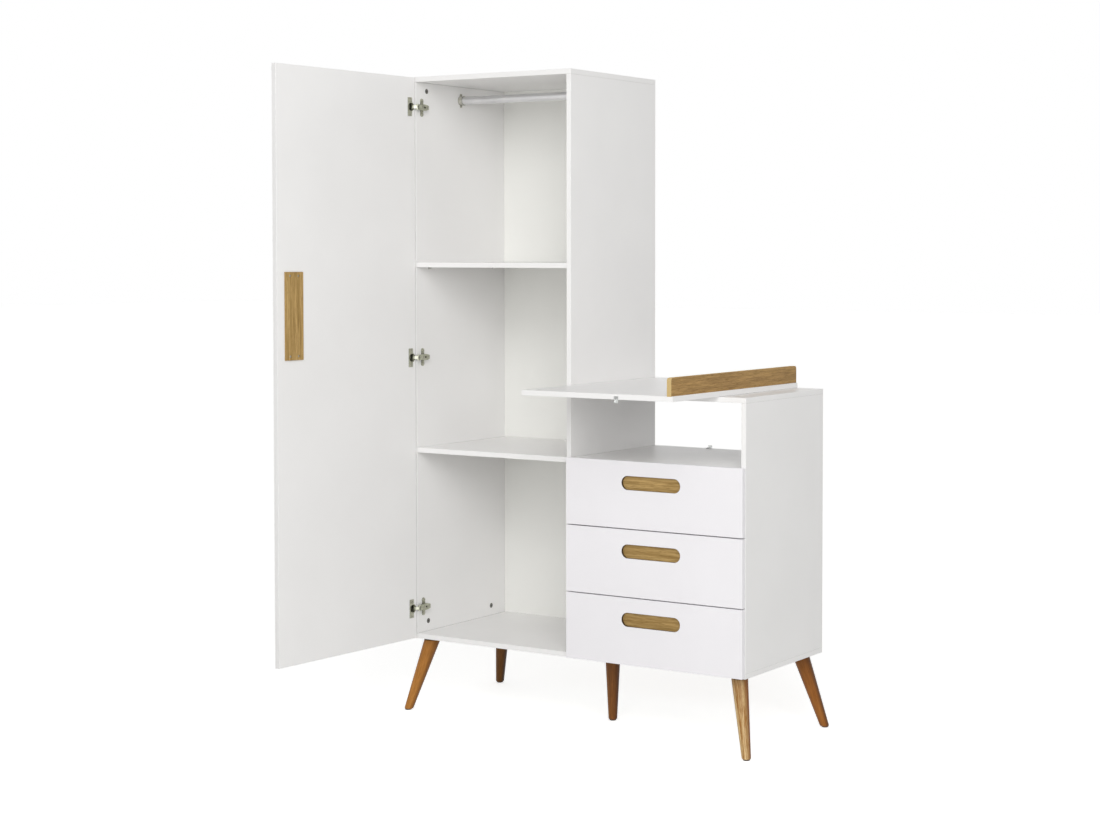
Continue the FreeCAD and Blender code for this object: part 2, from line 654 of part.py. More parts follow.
def changing_board():
    """Make the overhanging board, its oak guard and two clear edge clips."""
    front = f"({REAR} - top_long)"
    top = board("changing_board", "z", ("top_x", front, "dresser_height"),
                "top_width", "top_long", "board")
    groove(top, "z", "board", True, "guard_seat", "top_width - guard_inset - guard_thick", "0",
           "guard_thick", "top_long")
    guard_x = "top_x + top_width - guard_inset - guard_thick"
    guard = board("guard_rail", "x", (guard_x, front, "dresser_height + board - guard_seat"),
                  "top_long", "guard_high + guard_seat", "guard_thick", None)
    upper = []
    crest = number("guard_high + guard_seat")
    for index, edge in enumerate(guard.Tip.Shape.Edges):
        ends = [vertex.Point for vertex in edge.Vertexes]
        across = abs(ends[0].x - ends[1].x) > 1
        if across and abs(ends[0].z - crest) < 0.1:
            upper.append(f"Edge{index + 1}")
    pad = guard.Tip
    rounded = guard.newObject("PartDesign::Fillet", "guard_rounded")
    rounded.Base = (pad, upper)
    bind(rounded, {"Radius": "guard_round"})

    first = block("clip_front_leg",
                  ("clip_front_x", f"{front} - clip_thick", "dresser_height - clip_front_drop"),
                  ("clip_wide", "clip_thick", "clip_high"))
    under = block("clip_front_tongue",
                  ("clip_front_x", f"{front} - clip_thick", "dresser_height - clip_thick"),
                  ("clip_wide", "clip_thick + clip_tongue", "clip_thick"))
    over = f"{REAR} - clip_tongue"
    second = block("clip_rear_leg", ("clip_rear_x", REAR, "lower_shelf_z + clip_rear_lift"),
                   ("clip_wide", "clip_thick", "clip_high"))
    floor_top = "lower_shelf_z + board"
    tongue = block("clip_rear_tongue", ("clip_rear_x", over, floor_top),
                   ("clip_wide", "clip_tongue + clip_thick", "clip_thick"))
    group("edge_clips", [join("clip_front", first, under), join("clip_rear", second, tongue)])


# --- hinges ------------------------------------------------------------------


def at_hinge(x, y, z, level):
    """Count from the side's inner face, the carcass front edges and a hinge's height."""
    return (f"{WARDROBE_LEFT} + {x}", f"front_y + {y}", f"{level} + {z}")


def hinge_arm(level):
    """Make one arm: a fork that holds the pin, a roof and a body with curved long edges."""
    tag = "arm_" + level
    fork = "(arm_gap + arm_cheek)"
    pieces = []
    for side, low in (("upper", "arm_gap"), ("lower", f"-{fork}")):
        pieces.append(rod(f"{tag}_nose_{side}", at_hinge("arm_pin_out", "-arm_pin_fore", low, level),
                          "arm_nose", "arm_cheek"))
        pieces.append(block(f"{tag}_cheek_{side}",
                            at_hinge("arm_pin_out - arm_nose", "-arm_pin_fore", low, level),
                            ("2 * arm_nose", "arm_pin_fore + arm_fork_end", "arm_cheek")))
    pieces.append(block(tag + "_roof",
                        at_hinge("arm_face - arm_roof", "-arm_roof_fore", f"-{fork}", level),
                        ("arm_roof", "arm_fork_end + arm_roof_fore", f"2 * {fork}")))
    body = block(tag + "_body", at_hinge("arm_back", "arm_body", "-arm_belly", level),
                 ("arm_face - arm_back", "arm_end - arm_body", "2 * arm_belly"))
    for side, sign in (("upper", "-"), ("lower", "+")):
        centre = at_hinge("arm_back", "arm_middle", f"{sign}(arm_curve - arm_belly)", level)
        curve = rod(f"{tag}_curve_{side}", centre, "arm_curve", "arm_face - arm_back", "x")
        body = overlap(f"{tag}_edge_{side}", body, curve)
    bore = rod(tag + "_bore", at_hinge("arm_pin_out", "-arm_pin_fore", f"-{fork} - 1", level),
               "pin_bore", f"2 * {fork} + 2")
    hole = rod(tag + "_hole", at_hinge("arm_face - arm_hole_deep", "arm_hole_at", "0", level),
               "arm_hole", "arm_hole_deep + 1", "x")
    return cut(tag, join(tag + "_solid", body, *pieces), bore, hole)


def hinge_plate(level):
    """Make one cross-shaped mounting plate."""
    tag = "plate_" + level
    wing = block(tag + "_wing", at_hinge("0", "arm_middle - wing_wide / 2", "-wing_reach", level),
                 ("wing", "wing_wide", "2 * wing_reach"))
    ends = [rod(f"{tag}_end_{index}", at_hinge("0", "arm_middle", z, level), "wing_end", "wing", "x")
            for index, z in enumerate(("-wing_reach", "wing_reach"))]
    saddle = block(tag + "_saddle", at_hinge("0", "saddle_fore", "-saddle_half", level),
                   ("arm_back", "saddle_end - saddle_fore", "2 * saddle_half"))
    return join(tag, wing, saddle, *ends)


def hinge_cup(level):
    """Make one cup about its own centre: hollow, flange, pin lugs and a notch for the link."""
    tag = "cup_" + level
    shell = rod(tag + "_shell", ("0", "-cup_deep", "0"), "cup_radius", "cup_deep", "y")
    rim = rod(tag + "_rim", ("0", "0", "0"), "cup_rim", "flange", "y")
    flange = block(tag + "_flange", ("flange_in - cup_middle", "0", "-flange_long / 2"),
                   ("flange_wide", "flange", "flange_long"))
    hollow = rod(tag + "_hollow", ("0", "cup_floor - cup_deep", "0"), "cup_inner",
                 "cup_deep + flange", "y")
    bowl = cut(tag + "_bowl", join(tag + "_outer", shell, rim, flange), hollow)
    middle = "(cup_radius + cup_inner) / 2"
    lugs = []
    for side, low in (("upper", "arm_gap"), ("lower", "-cup_radius")):
        lug = block(f"{tag}_lug_{side}", ("cup_pin_in - cup_middle - lug_fore", "-lug_deep", low),
                    ("lug_wide", "lug_high", "cup_radius - arm_gap"))
        reach = rod(f"{tag}_reach_{side}", ("0", "-cup_deep", "0"), middle, "2 * cup_deep", "y")
        lugs.append(overlap(f"{tag}_boss_{side}", lug, reach))
    notch = block(tag + "_notch", ("-cup_rim - 1", "-cup_notch_deep", "-cup_notch / 2"),
                  ("cup_rim + 1 + cup_pin_in - cup_middle", "cup_notch_deep + 2 * flange", "cup_notch"))
    bore = rod(tag + "_bore", ("cup_pin_in - cup_middle", "-cup_pin_deep", "-cup_pin_half - 1"),
               "pin_bore", "2 * cup_pin_half + 2")
    cup = cut(tag, join(tag + "_whole", bowl, *lugs), notch, bore)
    hang(cup, "cup_middle", "0", level)
    return cup


def hinge_link(level):
    """Make one bent link: two eyes and two bars, along +X from the arm pin."""
    tag = "link_" + level
    low = "-link_high / 2"
    bend = ("link_bend_x", "link_bend_y", low)
    pieces = [rod(tag + "_arm_eye", ("0", "0", low), "link_eye", "link_high"),
              rod(tag + "_cup_eye", ("link_length", "0", low), "link_eye", "link_high"),
              rod(tag + "_knee", bend, "link_half", "link_high")]
    first = block(tag + "_long_bar", ("0", "0", low),
                  ("sqrt(link_bend_x ^ 2 + link_bend_y ^ 2)", "2 * link_half", "link_high"))
    rise = "atan2(link_bend_y; link_bend_x)"
    turn(first, (0, 0, 1), rise)
    place(first, (f"link_half * sin({rise})", f"-link_half * cos({rise})", low))
    fall = "atan2(-link_bend_y; link_length - link_bend_x)"
    second = block(tag + "_short_bar", ("0", "0", low),
                   ("sqrt((link_length - link_bend_x) ^ 2 + link_bend_y ^ 2)",
                    "2 * link_half", "link_high"))
    turn(second, (0, 0, 1), fall)
    place(second, (f"link_bend_x + link_half * sin({fall})",
                   f"link_bend_y - link_half * cos({fall})", low))
    eyes = [rod(f"{tag}_bore_{index}", (x, "0", "-link_high"), "pin_bore", "2 * link_high")
            for index, x in enumerate(("0", "link_length"))]
    link = cut(tag, join(tag + "_solid", first, second, *pieces), *eyes)
    turn(link, (0, 0, 1), "link_angle")
    place(link, (ARM_PIN_X, ARM_PIN_Y, level))
    bind(link, {"Placement.Rotation.Angle": "link_angle"})
    return link


def hinges():
    """Make the three hinges, grouped by the body that they move with; return their screws."""
    group("hinge_plates", [hinge_plate(level) for level in HINGES])
    group("hinge_arms", [hinge_arm(level) for level in HINGES])
    group("hinge_links", [hinge_link(level) for level in HINGES])
    group("hinge_cups", [hinge_cup(level) for level in HINGES])
    pins = {"arm": (ARM_PIN_X, ARM_PIN_Y, "(arm_gap + arm_cheek)"),
            "cup": (CUP_PIN_X, CUP_PIN_Y, "cup_pin_half")}
    for name, (x, y, half) in pins.items():
        group(f"{name}_pins", [rod(f"{name}_pin_{level}", (x, y, f"{level} - {half}"),
                                   "pin_radius", f"2 * {half}") for level in HINGES])
    fixed, carried = [], []
    for level in HINGES:
        for end, sign in (("upper", "+"), ("lower", "-")):
            start = at_hinge("wing", "arm_middle", f"{sign}wing_reach", level)
            fixed.append(screw(f"plate_screw_{level}_{end}", start, "x"))
            head = screw(f"cup_screw_{level}_{end}", ("0", "0", "0"), "y")
            carried.append(group(f"cup_screw_on_{level}_{end}", [head]))
            hang(carried[-1], "flange_in + flange_wide / 2", "flange", f"{level} {sign} flange_screw")
        for end, y in (("fore", "arm_screw_fore"), ("rear", "arm_screw_rear")):
            fixed.append(screw(f"arm_screw_{level}_{end}", at_hinge("arm_face", y, "0", level), "x"))
    return fixed, carried


# --- door --------------------------------------------------------------------


def grip_seat(panel, thickness, x, z, upright):
    """Sink the seat of an oak plate into a panel's rear, about the middle of its slot."""
    sizes = ("plate_wide", "plate_long") if upright else ("plate_long", "plate_wide")
    low = [f"{middle} - {size} / 2 - plate_room" for middle, size in zip((x, z), sizes)]
    groove(panel, "y", thickness, True, "plate_let_in", *low,
           *[f"{size} + 2 * plate_room" for size in sizes])


def grip_plate(label, upright):
    """Make an oak plate with four counterbored screw holes."""
    wide, high = ("plate_wide", "plate_long") if upright else ("plate_long", "plate_wide")
    plate = board(label, "y", ("0", "0", "0"), wide, high, "plate_thick")
    ends = ("plate_screw_end", "plate_long - plate_screw_end")
    sides = ("plate_wide / 2 - plate_screw_side", "plate_wide / 2 + plate_screw_side")
    centres = [(a, b) if upright else (b, a) for a in sides for b in ends]
    bores(plate, "y", "plate_thick", True, "plate_bore_deep", "plate_bore", centres)
    return plate, centres


def door():
    """Make the door with its finger slot, cup bores and oak plate; return the plate's screws."""
    panel = board("door_panel", "y", ("0", "0", "0"), "door_width", "door_height", "door_thick")
    cups = [("cup_middle", f"{level} - door_bottom") for level in HINGES]
    bores(panel, "y", "door_thick", True, "cup_deep + cup_room", "cup_hole", cups)
    half = "(grip_long - grip_wide) / 2"
    middle = "(door_grip_z - door_bottom)"
    carve(panel, "y", "door_thick", False, "door_thick",
          lambda sketch: stadium(sketch, ("door_grip_in", f"{middle} - {half}"),
                                 ("door_grip_in", f"{middle} + {half}"), "grip_wide / 2"))
    grip_seat(panel, "door_thick", "door_grip_in", middle, True)
    hang(panel, "0", "-door_thick", "door_bottom")

    plate, centres = grip_plate("door_grip_plate", True)
    edge, low = "(door_grip_in - plate_wide / 2)", "(door_grip_z - plate_long / 2)"
    hang(plate, edge, "-plate_let_in", low)
    screws = []
    for index, (x, z) in enumerate(centres):
        head = screw(f"door_plate_screw_{index}", ("0", "0", "0"), "y")
        screws.append(group(f"door_plate_screw_on_{index}", [head]))
        hang(screws[-1], f"{edge} + {x}", "plate_thick - plate_let_in - plate_bore_deep",
             f"{low} + {z}")
    return screws


# --- drawers -----------------------------------------------------------------


def runner_pair(tag, level):
    """Make the fixed and the moving member on both sides of one drawer."""
    fixed, moving = [], []
    y = "(front_y + runner_inset)"
    z = f"({level} + side_lift + runner_rise)"
    inside = "(runner_high - 2 * runner_lip)"
    foot = f"{z} + runner_lip + runner_play"
    high = f"({inside} - 2 * runner_play)"
    for side, wall, sign in (("left", DRESSER_LEFT, 1), ("right", DRESSER_RIGHT, -1)):
        # A fixed member is a channel whose back lies on the carcass.
        x = wall if sign > 0 else f"{wall} - runner_fixed"
        shell = block(f"{tag}_{side}_shell", (x, y, z), ("runner_fixed", "runner_long", "runner_high"))
        x = f"{wall} + runner_wall" if sign > 0 else f"{wall} - runner_wall - runner_wide"
        room = block(f"{tag}_{side}_room", (x, f"{y} - 1", f"{z} + runner_lip"),
                     ("runner_wide", "runner_long + 2", inside))
        fixed.append(cut(f"{tag}_{side}_fixed", shell, room))
        # A moving member is a smaller channel whose back lies on the drawer side.
        x = f"{wall} + runner_wide - runner_moving" if sign > 0 else f"{wall} - runner_wide"
        bar = block(f"{tag}_{side}_bar", (x, y, foot),
                    ("runner_moving", "runner_long - runner_short", high))
        x = f"{x} - 1" if sign > 0 else f"{x} + runner_wall"
        hole = block(f"{tag}_{side}_hole", (x, f"{y} - 1", f"{foot} + runner_wall"),
                     ("runner_moving + 1 - runner_wall", "runner_long + 2", f"{high} - 2 * runner_wall"))
        moving.append(cut(f"{tag}_{side}_moving", bar, hole))
    group(f"{tag}_slides", moving)
    return fixed


def drawer(tag, level):
    """Make one drawer: front, oak plate, two sides, back, bottom, slides and screws."""
    front_y = "(front_y - front_gap - front_thick)"
    slot_x = "((width + wardrobe_width - board) / 2 + left_x - front_x)"
    slot_z = f"({FRONT_HEIGHT} - grip_drop)"
    half = "(grip_long - grip_wide) / 2"
    front = board(f"{tag}_front", "y", ("front_x", front_y, level), "front_width", FRONT_HEIGHT,
                  "front_thick")
    carve(front, "y", "front_thick", False, "front_thick",
          lambda sketch: stadium(sketch, (f"{slot_x} - {half}", slot_z),
                                 (f"{slot_x} + {half}", slot_z), "grip_wide / 2"))
    grip_seat(front, "front_thick", slot_x, slot_z, False)
    side_x = f"({DRESSER_LEFT} + runner_wide)"
    far_x = f"({DRESSER_RIGHT} - runner_wide - side_thick)"
    side_y = "(front_y - front_gap)"
    side_z = f"({level} + side_lift)"
    inner = f"({far_x} - {side_x} - side_thick)"
    tongue_x = f"({side_x} + side_thick - bottom_tongue)"
    groove(front, "y", "front_thick", True, "bottom_groove", f"{tongue_x} - front_x",
           "side_lift + bottom_lift", f"{inner} + 2 * bottom_tongue", "bottom_thick")

    plate, centres = grip_plate(f"{tag}_grip_plate", False)
    plate_x = f"(front_x + {slot_x} - plate_long / 2)"
    plate_z = f"({level} + {slot_z} - plate_wide / 2)"
    plate_y = f"({side_y} - plate_let_in)"
    place(plate, (plate_x, plate_y, plate_z))
    screw_y = f"{plate_y} + plate_thick - plate_bore_deep"
    group(f"{tag}_plate_screws",
          [screw(f"{tag}_plate_screw_{index}", (f"{plate_x} + {x}", screw_y, f"{plate_z} + {z}"), "y")
           for index, (x, z) in enumerate(centres)])

    for label, x, far in (("left", side_x, True), ("right", far_x, False)):
        side = board(f"{tag}_side_{label}", "x", (x, side_y, side_z), "side_long", "side_high",
                     "side_thick")
        groove(side, "x", "side_thick", far, "bottom_groove", "0", "bottom_lift",
               "side_long", "bottom_thick")
    back_z = "(bottom_lift + bottom_thick)"
    board(f"{tag}_back", "y", (f"{side_x} + side_thick", f"{side_y} + side_long - side_thick",
                               f"{side_z} + {back_z}"), inner, f"side_high - {back_z}", "side_thick")
    board(f"{tag}_bottom", "z", (tongue_x, f"{side_y} - bottom_tongue", f"{side_z} + bottom_lift"),
          f"{inner} + 2 * bottom_tongue", "side_long + bottom_tongue", "bottom_thick", None)
    return runner_pair(tag, level)


def drawers():
    """Make three drawers and the runners that stay in the carcass."""
    fixed = []
    for index, tag in enumerate(("lower_drawer", "middle_drawer", "upper_drawer")):
        fixed += drawer(tag, f"(stack_bottom + {index} * ({FRONT_HEIGHT} + reveal))")
    group("cabinet_runners", fixed)


# --- build, prove and write --------------------------------------------------


def sub_parts():
    """Return the finished objects: those that no other object is made from."""
    found = []
    for thing in doc.Objects:
        whole = thing.TypeId == "PartDesign::Body" or thing.TypeId.startswith("Part::")
        users = [user for user in thing.InList if user.TypeId.startswith("Part::")]
        if whole and not users and thing.getParentGeoFeatureGroup() is None:
            found.append(thing)
    return found


def write_parts():
    """Check every object, then write one STEP file for each sub-part."""
    for thing in doc.Objects:
        if "Invalid" in thing.State or "Error" in thing.State:
            raise RuntimeError(f"{thing.Name} is not valid")
    for thing in sub_parts():
        shape = thing.Shape
        if shape.isNull() or not shape.isValid() or not shape.Solids:
            raise RuntimeError(f"{thing.Label} has no sound solid")
        shape.exportStep(f"parts/{thing.Label}.step")
        box = shape.BoundBox
        print(f"{thing.Label:24s} {len(shape.Solids):3d} solids  "
              f"x {box.XMin:8.1f} {box.XMax:8.1f}  y {box.YMin:8.1f} {box.YMax:8.1f}  "
              f"z {box.ZMin:8.1f} {box.ZMax:8.1f}")


cam_places = carcass_boards()
cam_fittings(*cam_places)
back_sheets()
shelves()
rail_screws = hanging_rail()
legs()
changing_board()
arm_screws, cup_screws = hinges()
plate_screws = door()
group("carcass_screws", rail_screws + arm_screws)
group("door_screws", cup_screws + plate_screws)
drawers()
doc.recompute()
write_parts()
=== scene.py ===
# %% [markdown]
# # A chifforobe: white lacquered boards, oak grips and turned legs
#
# A chifforobe is a wardrobe and a chest of drawers in one carcass. This one is made
# of fibreboard sprayed with white satin lacquer, with oak plates behind its finger
# slots, an oak guard on its changing board, and five turned wooden legs.
#
# The boards, drawers and hinges come in as the frame, true to size, and keep their
# shapes. This lesson gives every one of them a finish worked out from the real
# material, and builds the pieces that a lathe, a mould or a press makes: legs, glides
# and screw heads. All lengths are in metres.

import math

import bpy
import numpy as np
from mathutils import Matrix, Vector


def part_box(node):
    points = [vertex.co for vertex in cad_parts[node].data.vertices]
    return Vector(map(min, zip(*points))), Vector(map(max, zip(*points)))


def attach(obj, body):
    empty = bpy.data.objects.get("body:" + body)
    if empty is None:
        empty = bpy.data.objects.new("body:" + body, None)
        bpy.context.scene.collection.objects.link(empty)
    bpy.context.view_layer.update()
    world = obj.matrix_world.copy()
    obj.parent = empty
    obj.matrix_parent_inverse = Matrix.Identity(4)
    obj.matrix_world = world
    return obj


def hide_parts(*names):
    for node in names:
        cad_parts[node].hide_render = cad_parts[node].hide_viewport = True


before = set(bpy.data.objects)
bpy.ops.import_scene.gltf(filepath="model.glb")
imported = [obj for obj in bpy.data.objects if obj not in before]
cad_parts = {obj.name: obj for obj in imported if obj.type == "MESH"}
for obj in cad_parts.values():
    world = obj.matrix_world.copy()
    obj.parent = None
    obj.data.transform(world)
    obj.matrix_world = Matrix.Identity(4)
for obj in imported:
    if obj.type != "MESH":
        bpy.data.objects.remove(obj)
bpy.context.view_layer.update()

# %% [markdown]
# ## Helpers for every finish
#
# Paint charts and screens give colours as sRGB codes, but a shader adds light up in
# linear values, so one function turns a code into a linear colour. A finish could be
# wired by hand in the shader editor; here one small function adds any node with its
# settings and links, so that a whole finish reads as a short list. Two more open a new
# material, and open a made one again to lay something over its colour.

# %% Colour and node helpers
MM = 0.001


def linear(code):
    """Turn an sRGB hex code into linear red, green, blue and alpha."""
    srgb = np.array([int(code[start:start + 2], 16) for start in (1, 3, 5)]) / 255
    value = np.where(srgb <= 0.04045, srgb / 12.92, ((srgb + 0.055) / 1.055) ** 2.4)
    return (*value.tolist(), 1.0)


def add(tree, kind, settings=(), links=(), stops=()):
    """Add one node, fill its properties or sockets, link its inputs and set its ramp."""
    node = tree.nodes.new("ShaderNode" + kind)
    for name, value in dict(settings).items():
        if isinstance(name, str) and name not in node.inputs:
            setattr(node, name, value)
        else:
            node.inputs[name].default_value = value
    for name, source in dict(links).items():
        tree.links.new(source, node.inputs[name])
    for index, (place, colour) in enumerate(stops):
        if index > 1:
            node.color_ramp.elements.new(place)
        node.color_ramp.elements[index].position = place
        node.color_ramp.elements[index].color = colour
    return node


def finish(name):
    """Start a material and return it with its tree, its shader and its coordinates."""
    material = bpy.data.materials.new(name)
    material.use_nodes = True
    tree = material.node_tree
    shader = tree.nodes["Principled BSDF"]
    return material, tree, shader, add(tree, "TexCoord").outputs["Object"]


def reopen(material):
    """Return a made material's tree, its shader, its colour so far and its coordinates."""
    tree = material.node_tree
    shader = tree.nodes["Principled BSDF"]
    colour = shader.inputs["Base Color"].links[0].from_socket
    return tree, shader, colour, add(tree, "TexCoord").outputs["Object"]


print("half grey, #808080, is", round(linear("#808080")[0], 3), "in linear light")

# %% [markdown]
# ## Satin white lacquer
#
# Sprayed lacquer on fibreboard dries with a very shallow orange peel, a few
# thousandths of a millimetre deep and some six millimetres across. The eye sees it
# only where a light is mirrored. Its gloss also varies a little, because the board
# under it drinks unevenly. Both are noise on Object coordinates, which costs no
# unwrapping and keeps its size in millimetres on every board.
#
# Where two boards meet, a fine grey line of painted shade darkens the joint. It could be painted on by
# hand. Here a node asks at every point how much free space there is within a millimetre, so the painted
# shade follows each joint by itself.

# %% White lacquer and melamine
CLOUD_SIZE, THIRST_SIZE = 260 * MM, 35 * MM
# Colour, reach and share of the painted shade in the joints between boards.
JOINT_SHADE, JOINT_REACH, JOINT_SHARE = "#6E6A60", 0.9 * MM, 0.8


def with_painted_shade(tree, unshaded, shade_colour, reach, most):
    """Mix painted shade into a colour where other surfaces stand nearer than `reach`.

    The share of painted shade is `most` where up to 35 % of the directions are free, and falls
    evenly to none where 80 % are. A Mix node's sockets share their names, so they go by
    number: 0 is the share, 6 and 7 are the two colours, and output 2 is the result.
    """
    corner = add(tree, "AmbientOcclusion", {"samples": 4, "Distance": reach})
    share = add(tree, "MapRange", {"From Min": 0.35, "From Max": 0.8, "To Min": most, "To Max": 0.0},
                {"Value": corner.outputs["AO"]})
    return add(tree, "Mix", {"data_type": "RGBA", 7: linear(shade_colour)},
               {0: share.outputs["Result"], 6: unshaded}).outputs[2]


def white_board(name, dark, light, gloss, peel, peel_size):
    """White board: cloudy tone, uneven gloss, and a skin `peel` deep, `peel_size` across."""
    material, tree, shader, place = finish(name)
    cloud = add(tree, "TexNoise", {"Scale": 1 / CLOUD_SIZE, "Detail": 3.0}, {"Vector": place})
    tone = add(tree, "ValToRGB", links={"Fac": cloud.outputs["Fac"]},
               stops=((0.3, linear(dark)), (0.7, linear(light))))
    thirst = add(tree, "TexNoise", {"Scale": 1 / THIRST_SIZE, "Detail": 4.0}, {"Vector": place})
    sheen = add(tree, "MapRange", {"From Min": 0.3, "From Max": 0.7, "To Min": gloss - 0.04,
                                   "To Max": gloss + 0.06}, {"Value": thirst.outputs["Fac"]})
    skin = add(tree, "TexNoise", {"Scale": 1 / peel_size, "Detail": 2.0}, {"Vector": place})
    bump = add(tree, "Bump", {"Strength": 0.6, "Distance": peel}, {"Height": skin.outputs["Fac"]})
    # Painted shade darkens every joint where boards meet.
    joint_shaded = with_painted_shade(tree, tone.outputs["Color"], JOINT_SHADE, JOINT_REACH, JOINT_SHARE)
    tree.links.new(joint_shaded, shader.inputs["Base Color"])
    tree.links.new(sheen.outputs["Result"], shader.inputs["Roughness"])
    tree.links.new(bump.outputs["Normal"], shader.inputs["Normal"])
    return material


def lacquer(name, dark="#F1F0EF", light="#F4F3F2"):
    """Catalysed lacquer, sprayed and not polished: a satin white that mirrors softly."""
    return white_board(name, dark, light, 0.35, 0.006 * MM, 6 * MM)


finishes = {
    "white_lacquer": lacquer("satin_white_lacquer"),
    # Melamine paper pressed on chipboard: a fine pearl that breaks the shine up.
    "white_melamine": white_board("pearl_white_melamine", "#F3F3F1", "#F6F6F4",
                                  0.45, 0.01 * MM, 1.5 * MM),
}
print("white boards", [f"{kind}: {made.name}" for kind, made in finishes.items()])

# %% [markdown]
# ## Bare walls in the finger slots
#
# A finger slot is milled after the board is sprayed, so its wall shows the brown
# fibreboard under the lacquer; here that brown is drawn much darker than raw
# fibreboard, as painted shade in the recess. The wall has no face group of its own,
# but it has a place: every point of it lies one slot radius from the slot's middle
# line. So the finish measures that distance and turns dark brown inside it. Each panel
# gets its own copy, because each slot has its own place.

# %% Lacquer with a bare slot wall
SLOT_HALF, SLOT_RADIUS = 78 * MM, 20 * MM
# The brown reaches this little past the radius, so that rounding leaves no white on the wall.
SLOT_MARGIN = 0.15 * MM
FIBRE_SIZE = 2 * MM


def slotted_lacquer(panel, upright, turned, *tones):
    """Dark brown, raw fibre with painted shade, within one slot radius of the slot's middle line, white
    lacquer elsewhere.

    In the slot's own axes the distance to a line of half length h is the length of
    the vector (max(|along| - h, 0), across).
    """
    material = lacquer(f"satin_white_lacquer_{panel}", *tones)
    tree, shader, white, place = reopen(material)
    low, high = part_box(f"{panel}_grip_plate")
    own = add(tree, "Mapping", {"vector_type": "TEXTURE", "Location": (low + high) / 2,
                                "Rotation": (0, 0, turned)}, {"Vector": place})
    axes = add(tree, "SeparateXYZ", links={"Vector": own.outputs["Vector"]})
    along, across = ("Z", "X") if upright else ("X", "Z")
    past = add(tree, "Math", {"operation": "ABSOLUTE"}, {0: axes.outputs[along]})
    past = add(tree, "Math", {"operation": "SUBTRACT", 1: SLOT_HALF}, {0: past.outputs["Value"]})
    past = add(tree, "Math", {"operation": "MAXIMUM", 1: 0.0}, {0: past.outputs["Value"]})
    flat = add(tree, "CombineXYZ", links={"X": past.outputs["Value"], "Y": axes.outputs[across]})
    reach = add(tree, "VectorMath", {"operation": "LENGTH"}, {0: flat.outputs["Vector"]})
    inside = add(tree, "Math", {"operation": "LESS_THAN", 1: SLOT_RADIUS + SLOT_MARGIN},
                 {0: reach.outputs["Value"]})
    fibre = add(tree, "TexNoise", {"Scale": 1 / FIBRE_SIZE, "Detail": 4.0},
                {"Vector": own.outputs["Vector"]})
    # Raw fibreboard brown, darkened as painted shade in the slot.
    brown = add(tree, "ValToRGB", links={"Fac": fibre.outputs["Fac"]},
                stops=((0.3, linear("#33250F")), (0.7, linear("#4A3821"))))
    both = add(tree, "Mix", {"data_type": "RGBA"},
               {0: inside.outputs["Value"], 6: white, 7: brown.outputs["Color"]})
    tree.links.new(both.outputs[2], shader.inputs["Base Color"])
    return material


# The door stands open by 93 degrees, so its slot is turned about the upright.
DOOR_TURN = math.radians(-93)
# The drawer fronts are sprayed from another batch than the carcass, a touch cooler.
slotted = {f"{panel}_front": slotted_lacquer(panel, False, 0, "#F0EEF1", "#F3F1F4")
           for panel in ("upper_drawer", "middle_drawer", "lower_drawer")}
slotted["door_panel"] = slotted_lacquer("door", True, DOOR_TURN)
print("panels with a bare slot wall", sorted(slotted))

# %% [markdown]
# ## Hardboard back
#
# A back sheet is three millimetres of hot-pressed fibre with white paint on the side
# that shows. Its rear is left raw: brown, with short fibres lying every way. One
# material does both, by asking which way the sheet's face looks; two materials
# would need the sheet cut in two.

# %% Painted and raw hardboard
RAW_FIBRE_SIZE = 3 * MM


def hardboard():
    """White paint, but raw brown fibre where the normal's Y shows that a face looks backwards."""
    material = white_board("white_faced_hardboard", "#F8F8F4", "#FAFAF6", 0.5, 0.02 * MM, 2 * MM)
    tree, shader, white, place = reopen(material)
    fibre = add(tree, "TexNoise", {"Scale": 1 / RAW_FIBRE_SIZE, "Detail": 6.0, "Distortion": 1.5},
                {"Vector": place})
    brown = add(tree, "ValToRGB", links={"Fac": fibre.outputs["Fac"]},
                stops=((0.25, linear("#7A5B3C")), (0.75, linear("#A07C55"))))
    side = add(tree, "SeparateXYZ", links={"Vector": add(tree, "NewGeometry").outputs["Normal"]})
    rear = add(tree, "Math", {"operation": "GREATER_THAN", 1: 0.5}, {0: side.outputs["Y"]})
    both = add(tree, "Mix", {"data_type": "RGBA"},
               {0: rear.outputs["Value"], 6: white, 7: brown.outputs["Color"]})
    tree.links.new(both.outputs[2], shader.inputs["Base Color"])
    return material


finishes["white_hardboard"] = hardboard()
print("back sheet", finishes["white_hardboard"].name)

# %% [markdown]
# ## Oak
#
# Oak shows three things at arm's length: bands of early and late wood a few
# millimetres wide, finer streaks within them, and dark pores drawn out along the
# grain. Each is a noise stretched along the grain, which is how wood differs from
# stone: some twenty-five times longer than it is wide. A picture of veneer would
# repeat; noise doesn't.

# %% Oak veneer and turned wood
ALONG = {"x": 0, "y": 1, "z": 2}
PORE_DEEP = 0.15 * MM
# Width across the grain and length along it. Real pores are a few tenths of a
# millimetre wide; they are drawn coarser, so that they show.
BAND, STREAK, PORE = (7 * MM, 190 * MM), (1.6 * MM, 45 * MM), (1.1 * MM, 26 * MM)


def stretched(tree, source, grain, width, length):
    """Scale coordinates so that one noise cell is `width` across and `length` along."""
    scale = [1 / width] * 3
    scale[ALONG[grain]] = 1 / length
    return add(tree, "Mapping", {"Scale": scale}, {"Vector": source}).outputs["Vector"]


